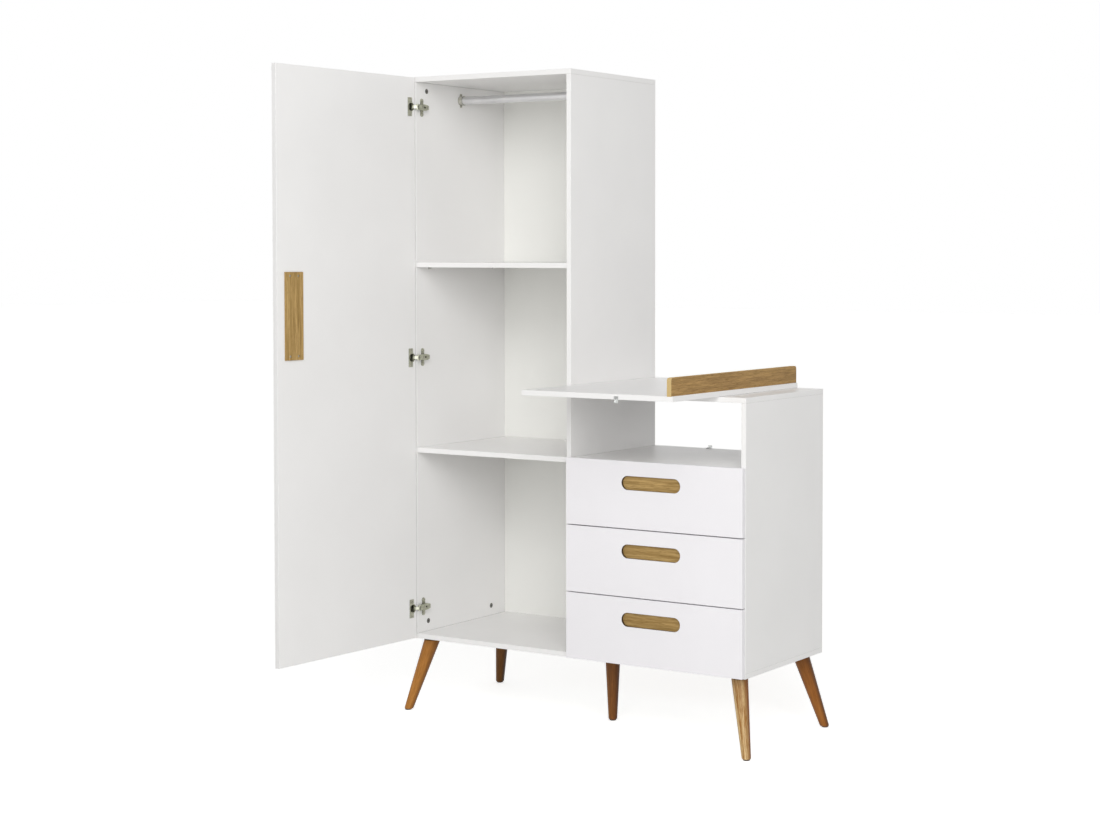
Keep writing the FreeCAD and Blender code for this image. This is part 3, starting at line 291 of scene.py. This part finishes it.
def wood(name, grain, early, late, pore, gloss, depth=0.65, attribute=None):
    """Wood with its grain along one axis of its coordinates.

    Six parts of bands and four of fine streaks choose a tone between late and early
    wood. A point is in a pore where the pore noise is high; there the tone moves
    towards `pore` by the share `depth`, the gloss goes and the surface sinks.
    """
    material, tree, shader, place = finish(name)
    if attribute:
        place = add(tree, "Attribute", {"attribute_name": attribute}).outputs["Vector"]
    bands = add(tree, "TexNoise", {"Scale": 1.0, "Detail": 5.0, "Roughness": 0.6, "Distortion": 0.4},
                {"Vector": stretched(tree, place, grain, *BAND)})
    fine = add(tree, "TexNoise", {"Scale": 1.0, "Detail": 3.0, "Roughness": 0.7},
               {"Vector": stretched(tree, place, grain, *STREAK)})
    figure = add(tree, "Mix", {"data_type": "FLOAT", 0: 0.4},
                 {2: bands.outputs["Fac"], 3: fine.outputs["Fac"]})
    tone = add(tree, "ValToRGB", links={"Fac": figure.outputs[0]},
               stops=((0.40, linear(late)), (0.60, linear(early))))
    pores = add(tree, "TexNoise", {"Scale": 1.0, "Detail": 2.0},
                {"Vector": stretched(tree, place, grain, *PORE)})
    open_pore = add(tree, "MapRange", {"From Min": 0.58, "From Max": 0.68},
                    {"Value": pores.outputs["Fac"]})
    strength = add(tree, "Math", {"operation": "MULTIPLY", 1: depth}, {0: open_pore.outputs["Result"]})
    colour = add(tree, "Mix", {"data_type": "RGBA", 7: linear(pore)},
                 {0: strength.outputs["Value"], 6: tone.outputs["Color"]})
    sheen = add(tree, "MapRange", {"To Min": gloss, "To Max": gloss + 0.25},
                {"Value": open_pore.outputs["Result"]})
    height = add(tree, "Math", {"operation": "SUBTRACT"},
                 {0: figure.outputs[0], 1: open_pore.outputs["Result"]})
    bump = add(tree, "Bump", {"Strength": 0.5, "Distance": PORE_DEEP}, {"Height": height.outputs["Value"]})
    shader.inputs["Specular IOR Level"].default_value = 0.2
    tree.links.new(colour.outputs[2], shader.inputs["Base Color"])
    tree.links.new(sheen.outputs["Result"], shader.inputs["Roughness"])
    tree.links.new(bump.outputs["Normal"], shader.inputs["Normal"])
    return material


# Oak under matt varnish: open pores that catch a little shade.
oak = {axis: wood(f"matt_oak_grain_{axis}", axis, "#C3A269", "#937542", "#6A4F26", 0.5)
       for axis in "xz"}
print("oak veneer with its grain along", list(oak))

# %% [markdown]
# ## The oak guard
#
# The guard is a plain oak bar. On its long sides the grain runs from front to rear;
# at its front end the same fibres are seen cut across, and there oak looks paler and
# speckled, because the eye looks into the open tubes. The rounded upper corners and
# the top arris are sanded, which takes the colour back as well.

# %% Oak guard
# The tubes are drawn a little coarser than the real ones, so that they show.
TUBE_SIZE = 0.9 * MM


def guard_oak():
    """Long grain on the sides, paler cut fibres where the face looks forwards or up."""
    material = wood("matt_oak_grain_y", "y", "#BA955C", "#8C6C3F", "#5C4220", 0.5)
    tree, shader, sides, place = reopen(material)
    tubes = add(tree, "TexNoise", {"Scale": 1 / TUBE_SIZE, "Detail": 3.0}, {"Vector": place})
    pale = add(tree, "ValToRGB", links={"Fac": tubes.outputs["Fac"]},
               stops=((0.35, linear("#B99A62")), (0.65, linear("#DCC48F"))))
    face = add(tree, "SeparateXYZ", links={"Vector": add(tree, "NewGeometry").outputs["Normal"]})
    side = add(tree, "Math", {"operation": "ABSOLUTE"}, {0: face.outputs["X"]})
    cut = add(tree, "Math", {"operation": "LESS_THAN", 1: 0.7}, {0: side.outputs["Value"]})
    both = add(tree, "Mix", {"data_type": "RGBA"},
               {0: cut.outputs["Value"], 6: sides, 7: pale.outputs["Color"]})
    tree.links.new(both.outputs[2], shader.inputs["Base Color"])
    return material


oak["y"] = guard_oak()
print("guard", oak["y"].name)

# %% [markdown]
# ## Turned legs in five tones
#
# Legs are turned from beech, stained and sprayed satin. Each comes from its own
# stick, so no two take the stain alike: the front pair comes out golden, the front
# right with pale streaks. The others are brown, and the centre and rear legs are drawn
# darker still, as painted shade where they stand back under the carcass. Three marks
# of painted shade darken every leg. A shade under the plate at the top fades down the
# leg. The side that looks to the right and the rear is shaded darker. A near black
# band of painted shade lies just below the top.
#
# The grain follows each leg's own axis, which a point attribute on the leg carries;
# Object coordinates would run the grain straight up through a leg that leans.

# %% Stained leg wood with painted shade
LEG_TONES = {
    # Even golden brown: little figure, soft pores.
    "leg_front_left": ("#C2843F", "#A06A2E", "#7A4C1C", 0.3),
    # Streaked pale gold: the stain has skipped the hard late wood.
    "leg_front_right": ("#EACD98", "#9A6A30", "#7C4610", 0.5),
    # Warm mid brown, drawn darker as painted shade under the carcass.
    "leg_centre": ("#8C5826", "#74461C", "#553012", 0.3),
    # Deep brown, drawn darker as painted shade behind and under the carcass.
    "leg_rear_left": ("#80521E", "#664012", "#3A230A", 0.3),
    # Orange brown, drawn darker as painted shade at the rear.
    "leg_rear_right": ("#A4682E", "#88521E", "#5C340F", 0.3),
}
# How far down the painted shade under the plate reaches, and the way that the painted shade on each leg's
# side faces.
TOP_SHADE_LONG = 110 * MM
SHADED_SIDE = (0.85, 0.52, 0.0)
LEG_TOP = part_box("leg_centre")[1].z
# The band of painted shade is full from 3 mm below the top upwards, and gone 6 mm below it.
BAND_FULL, BAND_GONE = LEG_TOP - 3 * MM, LEG_TOP - 6 * MM


def stained_and_shaded(name, early, late, pore, depth):
    """Turned wood with its grain down the blank, and painted shade in three places.

    Painted shade of half the pore tone at the top, less with every millimetre down the
    blank; painted shade of more of the pore tone the closer the normal points to the
    shaded side; and a band of nine tenths of near black over the top 3 mm, fading out by 6 mm.
    """
    material = wood(f"stained_shaded_beech_{name}", "z", early, late, pore, 0.38, depth, "blank")
    tree, shader, plain, place = reopen(material)
    blank = add(tree, "Attribute", {"attribute_name": "blank"})
    down = add(tree, "SeparateXYZ", links={"Vector": blank.outputs["Vector"]})
    # Painted shade under the plate, fading down the leg.
    top_shade = add(tree, "MapRange", {"From Min": 0.0, "From Max": TOP_SHADE_LONG, "To Min": 0.5, "To Max": 0.0},
               {"Value": down.outputs["Z"]})
    top_shaded = add(tree, "Mix", {"data_type": "RGBA", 7: linear(pore)},
                 {0: top_shade.outputs["Result"], 6: plain})
    # Painted shade on the side that looks to the right and the rear.
    facing = add(tree, "VectorMath", {"operation": "DOT_PRODUCT", 1: SHADED_SIDE},
                 {0: add(tree, "NewGeometry").outputs["Normal"]})
    side_shade = add(tree, "MapRange", {"From Min": 0.25, "From Max": 0.85},
                {"Value": facing.outputs["Value"]})
    side_shaded = add(tree, "Mix", {"data_type": "RGBA", 7: linear(pore)},
               {0: side_shade.outputs["Result"], 6: top_shaded.outputs[2]})
    level = add(tree, "SeparateXYZ", links={"Vector": place})
    # A near black band of painted shade just below the top.
    band_shade = add(tree, "MapRange", {"From Min": BAND_GONE, "From Max": BAND_FULL, "To Max": 0.9},
               {"Value": level.outputs["Z"]})
    band_shaded = add(tree, "Mix", {"data_type": "RGBA", 7: linear("#1C130C")},
                 {0: band_shade.outputs["Result"], 6: side_shaded.outputs[2]})
    tree.links.new(band_shaded.outputs[2], shader.inputs["Base Color"])
    return material


leg_wood = {name: stained_and_shaded(name, *tones) for name, tones in LEG_TONES.items()}
finishes["turned_wood"] = leg_wood["leg_centre"]
finishes["turned_wood_light"] = leg_wood["leg_front_right"]
print("leg tones", len(leg_wood), "with tops at", round(LEG_TOP / MM, 1), "mm")

# %% [markdown]
# ## Metals
#
# Plated steel is bright but never a clean mirror: a press or a drawing die leaves
# fine lines, and handling dulls it in patches. So each metal is a full metal whose
# roughness wanders by a tenth or so. In bores, cups and between the arms of a hinge a
# near black painted shade takes the place of the metal's tone, so hollows turn dark. A
# real plating can be smoother than this, but one that mirrors a lamp sharply sparkles
# in so small a piece, so no metal here is smoother than 0.28.

# %% Metals
# Colour and share of the painted shade in a metal's hollows.
HOLLOW_SHADE, HOLLOW_SHADE_SHARE = "#1B1B14", 0.9
SCRATCH_WIDE, SCRATCH_LONG, SCRATCH_DEEP = 0.3 * MM, 8 * MM, 0.01 * MM


def metal(name, light, dark, gloss, spread, patch, scratch=0.3, hollow=4 * MM):
    """Plated metal: one noise of the size `patch` moves its tone and its gloss.

    A second noise, stretched along X, is its scratches. Painted shade takes the place of the
    metal's tone where another surface stands nearer than `hollow`.
    """
    material, tree, shader, place = finish(name)
    cloud = add(tree, "TexNoise", {"Scale": 1 / patch, "Detail": 4.0}, {"Vector": place})
    tone = add(tree, "ValToRGB", links={"Fac": cloud.outputs["Fac"]},
               stops=((0.35, linear(dark)), (0.65, linear(light))))
    sheen = add(tree, "MapRange", {"From Min": 0.3, "From Max": 0.7, "To Min": gloss,
                                   "To Max": gloss + spread}, {"Value": cloud.outputs["Fac"]})
    lines = add(tree, "TexNoise", {"Scale": 1.0, "Detail": 2.0},
                {"Vector": stretched(tree, place, "x", SCRATCH_WIDE, SCRATCH_LONG)})
    bump = add(tree, "Bump", {"Strength": scratch, "Distance": SCRATCH_DEEP},
               {"Height": lines.outputs["Fac"]})
    shader.inputs["Metallic"].default_value = 1.0
    # Painted shade darkens the metal in its hollows.
    hollow_shaded = with_painted_shade(tree, tone.outputs["Color"], HOLLOW_SHADE, hollow, HOLLOW_SHADE_SHARE)
    tree.links.new(hollow_shaded, shader.inputs["Base Color"])
    tree.links.new(sheen.outputs["Result"], shader.inputs["Roughness"])
    tree.links.new(bump.outputs["Normal"], shader.inputs["Normal"])
    return material


metals = {
    # Nickel on steel: a warm grey shine, with painted shade where the cups and bores are deep.
    "nickel_steel": metal("nickel_plated_steel", "#D2D3C2", "#BEBFAC", 0.42, 0.12, 9 * MM,
                          hollow=14 * MM),
    # Bright nickel on the small supports: it takes on the white of the shelves around it.
    "bright_nickel": metal("bright_nickel_plating", "#F2F1EE", "#E4E3DF", 0.3, 0.1, 5 * MM),
    # Bright zinc on rolled sheet: bluish, with the dull bloom that zinc grows.
    "zinc_steel": metal("bright_zinc_plated_steel", "#D5D8DC", "#B4B8BE", 0.32, 0.16, 12 * MM),
    # Zinc die casting, tumbled: a dull grey with no clear reflection.
    "zinc_casting": metal("tumbled_zinc_casting", "#8E8C88", "#6A6864", 0.42, 0.15, 3 * MM),
    # Nickel-plated screw heads: a warm shine, patchy over each head.
    "screw_steel": metal("nickel_plated_screw", "#D8D6CA", "#BCBAAC", 0.32, 0.12, 2 * MM),
    # Chrome on a zinc casting: the smoothest plating here, white with the room around it.
    "dark_chrome": metal("chrome_plating", "#D6D5CC", "#C2C1B8", 0.29, 0.05, 8 * MM),
    # Satin anodised aluminium tube: pale and even, with no scratch that shows.
    "rail_tube": metal("satin_anodised_aluminium", "#E4E4E5", "#DCDCDE", 0.3, 0.05, 60 * MM, 0.0),
}
finishes.update(metals)
print("metals", [made.name for made in metals.values()])

# %% [markdown]
# ## Plastics and coated steel
#
# A moulded or powder-coated surface is one colour all through, with a fine leathery
# grain from the mould or from the way the powder flows in the oven. One noise does
# both: its heights are the grain, and its hollows are a little darker and smoother.

# %% Plastics and coated steel
GRAIN_DEEP = 0.03 * MM


def moulded(name, colour, lighter, gloss, grain):
    """Moulded or coated surface: tone, gloss and height all rise with one noise of size `grain`."""
    material, tree, shader, place = finish(name)
    speck = add(tree, "TexNoise", {"Scale": 1 / grain, "Detail": 3.0}, {"Vector": place})
    tone = add(tree, "ValToRGB", links={"Fac": speck.outputs["Fac"]},
               stops=((0.3, linear(colour)), (0.7, linear(lighter))))
    sheen = add(tree, "MapRange", {"To Min": gloss, "To Max": gloss + 0.2},
                {"Value": speck.outputs["Fac"]})
    bump = add(tree, "Bump", {"Strength": 0.4, "Distance": GRAIN_DEEP}, {"Height": speck.outputs["Fac"]})
    tree.links.new(tone.outputs["Color"], shader.inputs["Base Color"])
    tree.links.new(sheen.outputs["Result"], shader.inputs["Roughness"])
    tree.links.new(bump.outputs["Normal"], shader.inputs["Normal"])
    return material


finishes.update({
    # Black powder coat on the leg plates.
    "black_steel": moulded("black_powder_coat", "#0B0B0C", "#151516", 0.7, 0.8 * MM),
    # Brown polyethylene glides, scuffed by the floor.
    "dark_plastic": moulded("brown_polyethylene", "#33271E", "#463629", 0.45, 0.6 * MM),
    # Clear polycarbonate, frosted by its mould: it glows with what lies behind it.
    "clear_plastic": moulded("frosted_polycarbonate", "#F6F9F7", "#FCFDFC", 0.35, 2 * MM),
})
clear = finishes["clear_plastic"].node_tree.nodes["Principled BSDF"]
clear.inputs["Transmission Weight"].default_value = 0.6
# Solid polycarbonate bends light by 1.58. The clips have thin walls, which bend it less:
# at 1.2 their rims stay pale.
clear.inputs["IOR"].default_value = 1.2
print("clear plastic lets", clear.inputs["Transmission Weight"].default_value, "of the light in")

# %% [markdown]
# ## Giving the frame its finishes
#
# Every node of the frame carries the name of its material slot. The oak plates need
# one more fact, the way their grain runs: upright on the door, level on the drawers,
# and front to rear on the guard. The shelf supports are plated brighter than the
# hinges, so they get a nickel of their own.

# %% Assign the finishes
OAK_GRAIN = {"door_grip_plate": "z", "guard_rail": "y"}
for name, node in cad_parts.items():
    for slot in node.material_slots:
        kind = slot.material.name
        if kind == "oak_veneer":
            slot.material = oak[OAK_GRAIN.get(name, "x")]
        elif name == "shelf_supports":
            slot.material = finishes["bright_nickel"]
        else:
            slot.material = slotted.get(name, finishes[kind])
print("finishes", sorted(finishes))

# %% [markdown]
# ## A skin from rings of points
#
# A lathe makes a form whose every section is a ring. So one function is enough for
# legs, glides and screw heads: it takes an array of rings, joins each to the next
# with four-sided faces, and closes both ends with a flat face.

# %% Skin helper
def skin(name, rings, material, smooth_angle=40):
    """Make one mesh from closed shells: an array (shells, rings, points, 3), or one shell.

    Point j of ring i makes a quad with point j + 1 and with the same two points of ring
    i + 1; a flat face closes the first and the last ring. Edges sharper than the angle
    stay sharp.
    """
    shells, count, points = (rings if rings.ndim == 4 else rings[None]).shape[:3]
    index = np.arange(shells * count * points).reshape(shells, count, points)
    here, there = index[:, :-1], index[:, 1:]
    quads = np.stack([here, np.roll(here, -1, 2), np.roll(there, -1, 2), there], -1).reshape(-1, 4)
    faces = quads.tolist() + index[:, 0, ::-1].tolist() + index[:, -1].tolist()
    mesh = bpy.data.meshes.new(name)
    mesh.from_pydata(rings.reshape(-1, 3), [], faces)
    mesh.polygons.foreach_set("use_smooth", np.ones(len(faces), bool))
    mesh.set_sharp_from_angle(angle=math.radians(smooth_angle))
    mesh.materials.append(material)
    piece = bpy.data.objects.new(name, mesh)
    bpy.context.scene.collection.objects.link(piece)
    return piece


# %% [markdown]
# ## Turned legs
#
# A leg is turned as a straight taper on its own axis and then sawn level at both
# ends, so that it meets the base board and the floor flat while it leans. Its foot
# is rounded by a few millimetres so that it doesn't splinter. Leaning a plain cone
# would leave its ends tilted; slicing it level in the formula gives the true sawn
# shape, and the arris and the rounded foot come from pulling the last rings in.

# %% Legs
TOP_RADIUS, FOOT_RADIUS = 24 * MM, 12.8 * MM
ARRIS, TOE = 0.8 * MM, 3.5 * MM
BASE_Z = 220 * MM
# How far a foot stands out from its top, to the side and to the front or rear.
SPREAD = 54 * MM
INSET_SIDE, INSET_FRONT, INSET_REAR = 42 * MM, 40.5 * MM, 57 * MM
LEG_LEANS = {"leg_front_left": (-1, -1), "leg_rear_left": (-1, 1), "leg_front_right": (1, -1),
             "leg_rear_right": (1, 1), "leg_centre": (0, 0)}
LEG_SIDES, BEND_RINGS, LONG_RINGS = 48, 6, 25
# Each leg is cut from its own stick: its grain is read this far from the next one's.
STICK_APART = 0.37


def leg(name, lean, start):
    """Slice a leaning cone by level planes.

    A point of the cone at distance s down the axis d lies at
    start + s d + r(s) (e1 cos a + e2 sin a), with r(s) falling evenly. Asking for the
    height z gives s by one division. Each ring is then pulled towards the axis by its
    own length: quarter circles of the radius ARRIS at the top and TOE at the foot.
    """
    low, high = (corner.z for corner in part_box(name))
    down = Vector((lean[0] * SPREAD, lean[1] * SPREAD, -BASE_Z))
    run = down.length
    axis = np.array(down / run)
    side = np.array([1.0, 0, 0]) - axis * axis[0]
    side /= np.linalg.norm(side)
    other = np.cross(axis, side)
    shrink = (TOP_RADIUS - FOOT_RADIUS) / run
    bend = np.linspace(0, math.pi / 2, BEND_RINGS + 1)[1:]
    fall = np.sin(bend)
    levels = np.concatenate([[high], high - ARRIS * fall,
                             np.linspace(high - ARRIS, low + TOE, LONG_RINGS + 1)[1:],
                             low + TOE * (1 - fall)])
    pull = np.concatenate([[ARRIS], ARRIS * (1 - np.sqrt(1 - (1 - fall) ** 2)),
                           np.zeros(LONG_RINGS), TOE * (1 - np.cos(bend))])
    turn = np.linspace(0, 2 * math.pi, LEG_SIDES, endpoint=False)
    across = np.cos(turn)[:, None] * side + np.sin(turn)[:, None] * other
    level = levels[:, None]
    reach = (level - start.z - TOP_RADIUS * across[:, 2]) / (axis[2] - shrink * across[:, 2])
    radius = TOP_RADIUS - shrink * reach
    cone = np.array(start) + reach[..., None] * axis + radius[..., None] * across
    middle = np.array(start) + ((level - start.z) / axis[2])[..., None] * axis
    rings = middle + (cone - middle) * (1 - pull[:, None] / radius)[..., None]
    piece = skin(f"{name}_turned", rings[:, ::-1], leg_wood[name])
    points = np.array([v.co for v in piece.data.vertices]) - np.array(start)
    blank = np.stack([points @ side, points @ other, points @ axis], -1)
    blank += STICK_APART * np.array([*lean, 0])
    store = piece.data.attributes.new("blank", "FLOAT_VECTOR", "POINT")
    store.data.foreach_set("vector", blank.astype(np.float32).ravel())
    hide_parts(name)
    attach(piece, "cabinet")
    return piece


base_low, base_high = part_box("base_panel")
starts = {}
for name, lean in LEG_LEANS.items():
    start = Vector((0, 0, BASE_Z))
    if name != "leg_centre":
        corner_x = base_low.x if lean[0] < 0 else base_high.x
        corner_y = base_low.y if lean[1] < 0 else base_high.y
        inset_y = INSET_FRONT if lean[1] < 0 else INSET_REAR
        start = Vector((corner_x - lean[0] * INSET_SIDE, corner_y - lean[1] * inset_y, BASE_Z))
    starts[name] = start
    made = leg(name, lean, start)
    print(name, "faces", len(made.data.polygons))

# %% [markdown]
# ## Glides under the legs
#
# A glide is a moulded disc whose lower rim is rounded so that it slides over a carpet
# edge. It is a body of revolution: one profile of radius against height, turned about
# the foot's middle. Five of them share one mesh, because they are one kind of piece.

# %% Glides
RIM, WIDE = 1.4 * MM, 10 * MM
LATHE_SIDES = 40
TURN = np.linspace(0, 2 * math.pi, LATHE_SIDES, endpoint=False)


def lathe(radius, height):
    """Turn a profile about Z: point (i, j) lies at (r_i cos a_j, r_i sin a_j, h_i)."""
    flat = radius[:, None, None] * np.stack([np.cos(TURN), np.sin(TURN)], -1)
    return np.concatenate([flat, np.broadcast_to(height[:, None, None], flat[..., :1].shape)], -1)


glide_low, glide_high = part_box("leg_glides")
thick = glide_high.z - glide_low.z
bend = np.linspace(0, math.pi / 2, 8)
profile = lathe(np.concatenate([WIDE - RIM + RIM * np.sin(bend), [WIDE, WIDE]]),
                np.concatenate([RIM - RIM * np.cos(bend), [thick / 2, thick]]))
feet = np.array([(start.x + LEG_LEANS[name][0] * SPREAD, start.y + LEG_LEANS[name][1] * SPREAD, 0)
                 for name, start in starts.items()])
glides = skin("moulded_glides", feet[:, None, None] + profile, finishes["dark_plastic"])
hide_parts("leg_glides")
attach(glides, "cabinet")
print("glides", len(feet), "faces", len(glides.data.polygons))

# %% [markdown]
# ## Screw heads with a cross recess
#
# A furniture screw is cold-headed: the steel is pressed into a low dome, and a punch
# drives in the cross. The frame holds each head as a plain blank in its right place,
# so the place and the direction are read from those blanks: the direction is the way
# a blank is thinnest, and it points from the wide end to the narrow one. The dome and
# the cross are one height over a round grid, which keeps the skin closed where a
# boolean cut would leave slivers.

# %% Screw heads
HEAD_RADIUS, HEAD_HIGH = 3.2 * MM, 1.75 * MM
# Shares of the height: the rings of the straight rim, and where the dome begins inside it.
RIM_RISE, DOME_START = (0, 0.25, 0.45), 0.55
DOME_RADIUS, DOME_EYE, DOME_RINGS = 0.97 * HEAD_RADIUS, 0.02 * MM, 22
# An arm of the cross from the middle to its end, half its width, its depth and its walls.
CROSS_ARM, CROSS_HALF, CROSS_DEEP, CROSS_WALL = 1.9 * MM, 0.42 * MM, 1.1 * MM, 0.2 * MM
# How steeply the cross deepens from its ends; above 1, its middle is flat.
CROSS_STEEP = 2.2
# No two corners of one blank are further apart than this, and no two blanks nearer.
ONE_HEAD = 7.5 * MM
# The golden angle: each cross is turned by it from the last, so no two stand alike.
GOLDEN = 2.39996


def blanks(node):
    """Read the middle of the seat and three axes of every blank in one node.

    Corners closer together than one head belong to the same blank. The axes are the
    eigenvectors of the spread of its corners; the thinnest one is the screw's axis.
    """
    corners = np.empty(3 * len(node.data.vertices))
    node.data.vertices.foreach_get("co", corners)
    corners = np.unique(np.round(corners.reshape(-1, 3), 6), axis=0)
    near = np.linalg.norm(corners[:, None] - corners, axis=-1) < ONE_HEAD
    for first in np.unique(near.argmax(1)):
        own = corners[near[first]]
        centre = (own.max(0) + own.min(0)) / 2
        about = own - centre
        axes = np.linalg.eigh(about.T @ about)[1].T
        local = about @ axes.T
        wide_end = np.sign((local[:, 0] * (local[:, 1] ** 2 + local[:, 2] ** 2)).sum())
        axes[0] *= -wide_end
        local[:, 0] *= -wide_end
        axes[2] = np.cross(axes[0], axes[1])
        middle = (local.max(0) + local.min(0)) / 2
        middle[0] = local[:, 0].min()
        yield centre + middle @ axes, axes


def head_profile(turned):
    """Height of a head over its round grid: a dome less a cross that deepens inwards.

    The dome falls with the square of the radius. The cross is where the smaller of
    |x| and |y| is under its half width, with walls that slope evenly.
    """
    rim = np.array(RIM_RISE) * HEAD_HIGH
    radius = np.linspace(DOME_RADIUS, DOME_EYE, DOME_RINGS)
    grid = lathe(np.concatenate([np.full(len(rim), HEAD_RADIUS), radius]),
                 np.concatenate([rim, np.zeros(DOME_RINGS)]))
    top = grid[len(rim):]
    x = top[..., 0] * math.cos(turned) - top[..., 1] * math.sin(turned)
    y = top[..., 0] * math.sin(turned) + top[..., 1] * math.cos(turned)
    dome = HEAD_HIGH * (DOME_START + (1 - DOME_START) * (1 - (radius[:, None] / HEAD_RADIUS) ** 2))
    wall = np.clip((CROSS_HALF - np.minimum(abs(x), abs(y))) / CROSS_WALL, 0, 1)
    reach = np.clip(1 - np.maximum(abs(x), abs(y)) / CROSS_ARM, 0, 1)
    top[..., 2] = dome - CROSS_DEEP * wall * np.minimum(1, CROSS_STEEP * reach)
    return grid


SCREWS = {"carcass_screws": "cabinet", "door_screws": "door",
          **{f"{drawer}_plate_screws": drawer
             for drawer in ("upper_drawer", "middle_drawer", "lower_drawer")}}
for name, body in SCREWS.items():
    shells = []
    for index, (seat, axes) in enumerate(blanks(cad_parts[name])):
        grid = head_profile(index * GOLDEN)
        shells.append(seat + grid[..., 2:] * axes[0] + grid[..., :1] * axes[1] + grid[..., 1:2] * axes[2])
    heads = skin(f"{name}_heads", np.array(shells), finishes["screw_steel"], 30)
    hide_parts(name)
    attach(heads, body)
    print(name, "heads", len(shells), "faces", len(heads.data.polygons))

# %% [markdown]
# ## Floor
#
# The piece stands on a pale floor that keeps its soft shadow. A floor as white as the
# room would throw a lot of light up under the boards. So its colour stays a pale grey
# for the light that falls on the piece, and a glow lifts it to white only for the rays
# that come to the eye, straight or by way of a metal or a clear plastic.

# %% Floor
FLOOR_HALF, FLOOR_GLOW = 40.0, 0.62


def seen_by_eye(tree):
    """Give 1 on rays from the eye, also by way of a gloss or a clear piece, and 0 on others."""
    path = add(tree, "LightPath")
    seen = add(tree, "Math", {"operation": "MAXIMUM"},
               {0: path.outputs["Is Camera Ray"], 1: path.outputs["Is Glossy Ray"]})
    return add(tree, "Math", {"operation": "MAXIMUM"},
               {0: seen.outputs["Value"], 1: path.outputs["Is Transmission Ray"]}).outputs["Value"]


mesh = bpy.data.meshes.new("studio_floor")
mesh.from_pydata([(x * FLOOR_HALF, y * FLOOR_HALF, 0) for x, y in ((-1, -1), (1, -1), (1, 1), (-1, 1))],
                 [], [(0, 1, 2, 3)])
floor = bpy.data.objects.new("studio_floor", mesh)
bpy.context.scene.collection.objects.link(floor)
material, tree, shader, _ = finish("pale_studio_floor")
shader.inputs["Base Color"].default_value = linear("#E6E6E4")
shader.inputs["Roughness"].default_value = 0.8
lift = add(tree, "Math", {"operation": "MULTIPLY", 1: FLOOR_GLOW}, {0: seen_by_eye(tree)})
shader.inputs["Emission Color"].default_value = (1, 1, 1, 1)
tree.links.new(lift.outputs["Value"], shader.inputs["Emission Strength"])
mesh.materials.append(material)
print("floor", 2 * FLOOR_HALF, "m wide")

# %% [markdown]
# ## World
#
# The room around the piece is white. It lights every side evenly, at less than half
# strength, so that the lamps still give the boards their shades. The eye sees it at
# full strength, as plain white.

# %% World
AMBIENT = 0.41
world = bpy.data.worlds.new("white_room")
bpy.context.scene.world = world
world.use_nodes = True
tree = world.node_tree
room = tree.nodes["Background"]
room.inputs["Color"].default_value = (1, 1, 1, 1)
strength = add(tree, "MapRange", {"To Min": AMBIENT, "To Max": 1.0}, {"Value": seen_by_eye(tree)})
tree.links.new(strength.outputs["Result"], room.inputs["Strength"])
print("world lights at", AMBIENT)

# %% [markdown]
# ## Lamps
#
# Two large soft lamps in front, to the right and above, give the fronts their
# brightness, and their size blurs the shadows inside the wardrobe. A smaller lamp
# further right keeps the right sides only a shade darker than the fronts.

# %% Lamps
CARCASS_MIDDLE = Vector((0, 0, 0.9))


def soft_lamp(name, place, size, power):
    """Hang a square area lamp of a side in metres and a power in watts, aimed at the carcass."""
    data = bpy.data.lights.new(name, "AREA")
    data.shape, data.size, data.energy = "SQUARE", size, power
    lamp = bpy.data.objects.new(name, data)
    lamp.location = place
    lamp.rotation_euler = (CARCASS_MIDDLE - Vector(place)).to_track_quat("-Z", "Y").to_euler()
    bpy.context.scene.collection.objects.link(lamp)


soft_lamp("key_softbox", (2.6, -4.4, 2.6), 3.0, 88)
soft_lamp("high_softbox", (2.2, -3.6, 4.0), 2.5, 57)
soft_lamp("side_lamp", (4.2, -3.2, 2.0), 0.8, 24)
print("lamps", {lamp.name: lamp.energy for lamp in bpy.data.lights})

# %% [markdown]
# ## Camera
#
# The camera stands six metres off, at the height of the chest and to the right, so
# that it looks into the wardrobe and also shows the right side. Yaw and pitch aim it,
# and roll turns it about its own line of sight. The shift slides the frame without
# turning the lens, which keeps upright edges nearly upright.

# %% Camera
EYE = Vector((3.34265, -5.03212, 1.39438))
YAW, PITCH, ROLL = math.radians(31.416), math.radians(-2.134), math.radians(0.077)
LENS, SENSOR = 66.458, 36.0
SHIFT_X, SHIFT_Y = -0.1273, -0.0745
data = bpy.data.cameras.new("camera")
data.sensor_width, data.lens = SENSOR, LENS
data.shift_x, data.shift_y = SHIFT_X, SHIFT_Y
data.clip_end = 60
camera = bpy.data.objects.new("camera", data)
ahead = Vector((-math.sin(YAW) * math.cos(PITCH), math.cos(YAW) * math.cos(PITCH), math.sin(PITCH)))
right = Vector((math.cos(YAW), math.sin(YAW), 0))
up = right.cross(ahead)
right, up = (right * math.cos(ROLL) + up * math.sin(ROLL), up * math.cos(ROLL) - right * math.sin(ROLL))
camera.matrix_world = Matrix((right, up, -ahead)).transposed().to_4x4()
camera.location = EYE
bpy.context.scene.collection.objects.link(camera)
bpy.context.scene.camera = camera
bpy.context.scene.view_settings.view_transform = "Standard"
print("camera looks along", [round(v, 3) for v in ahead])
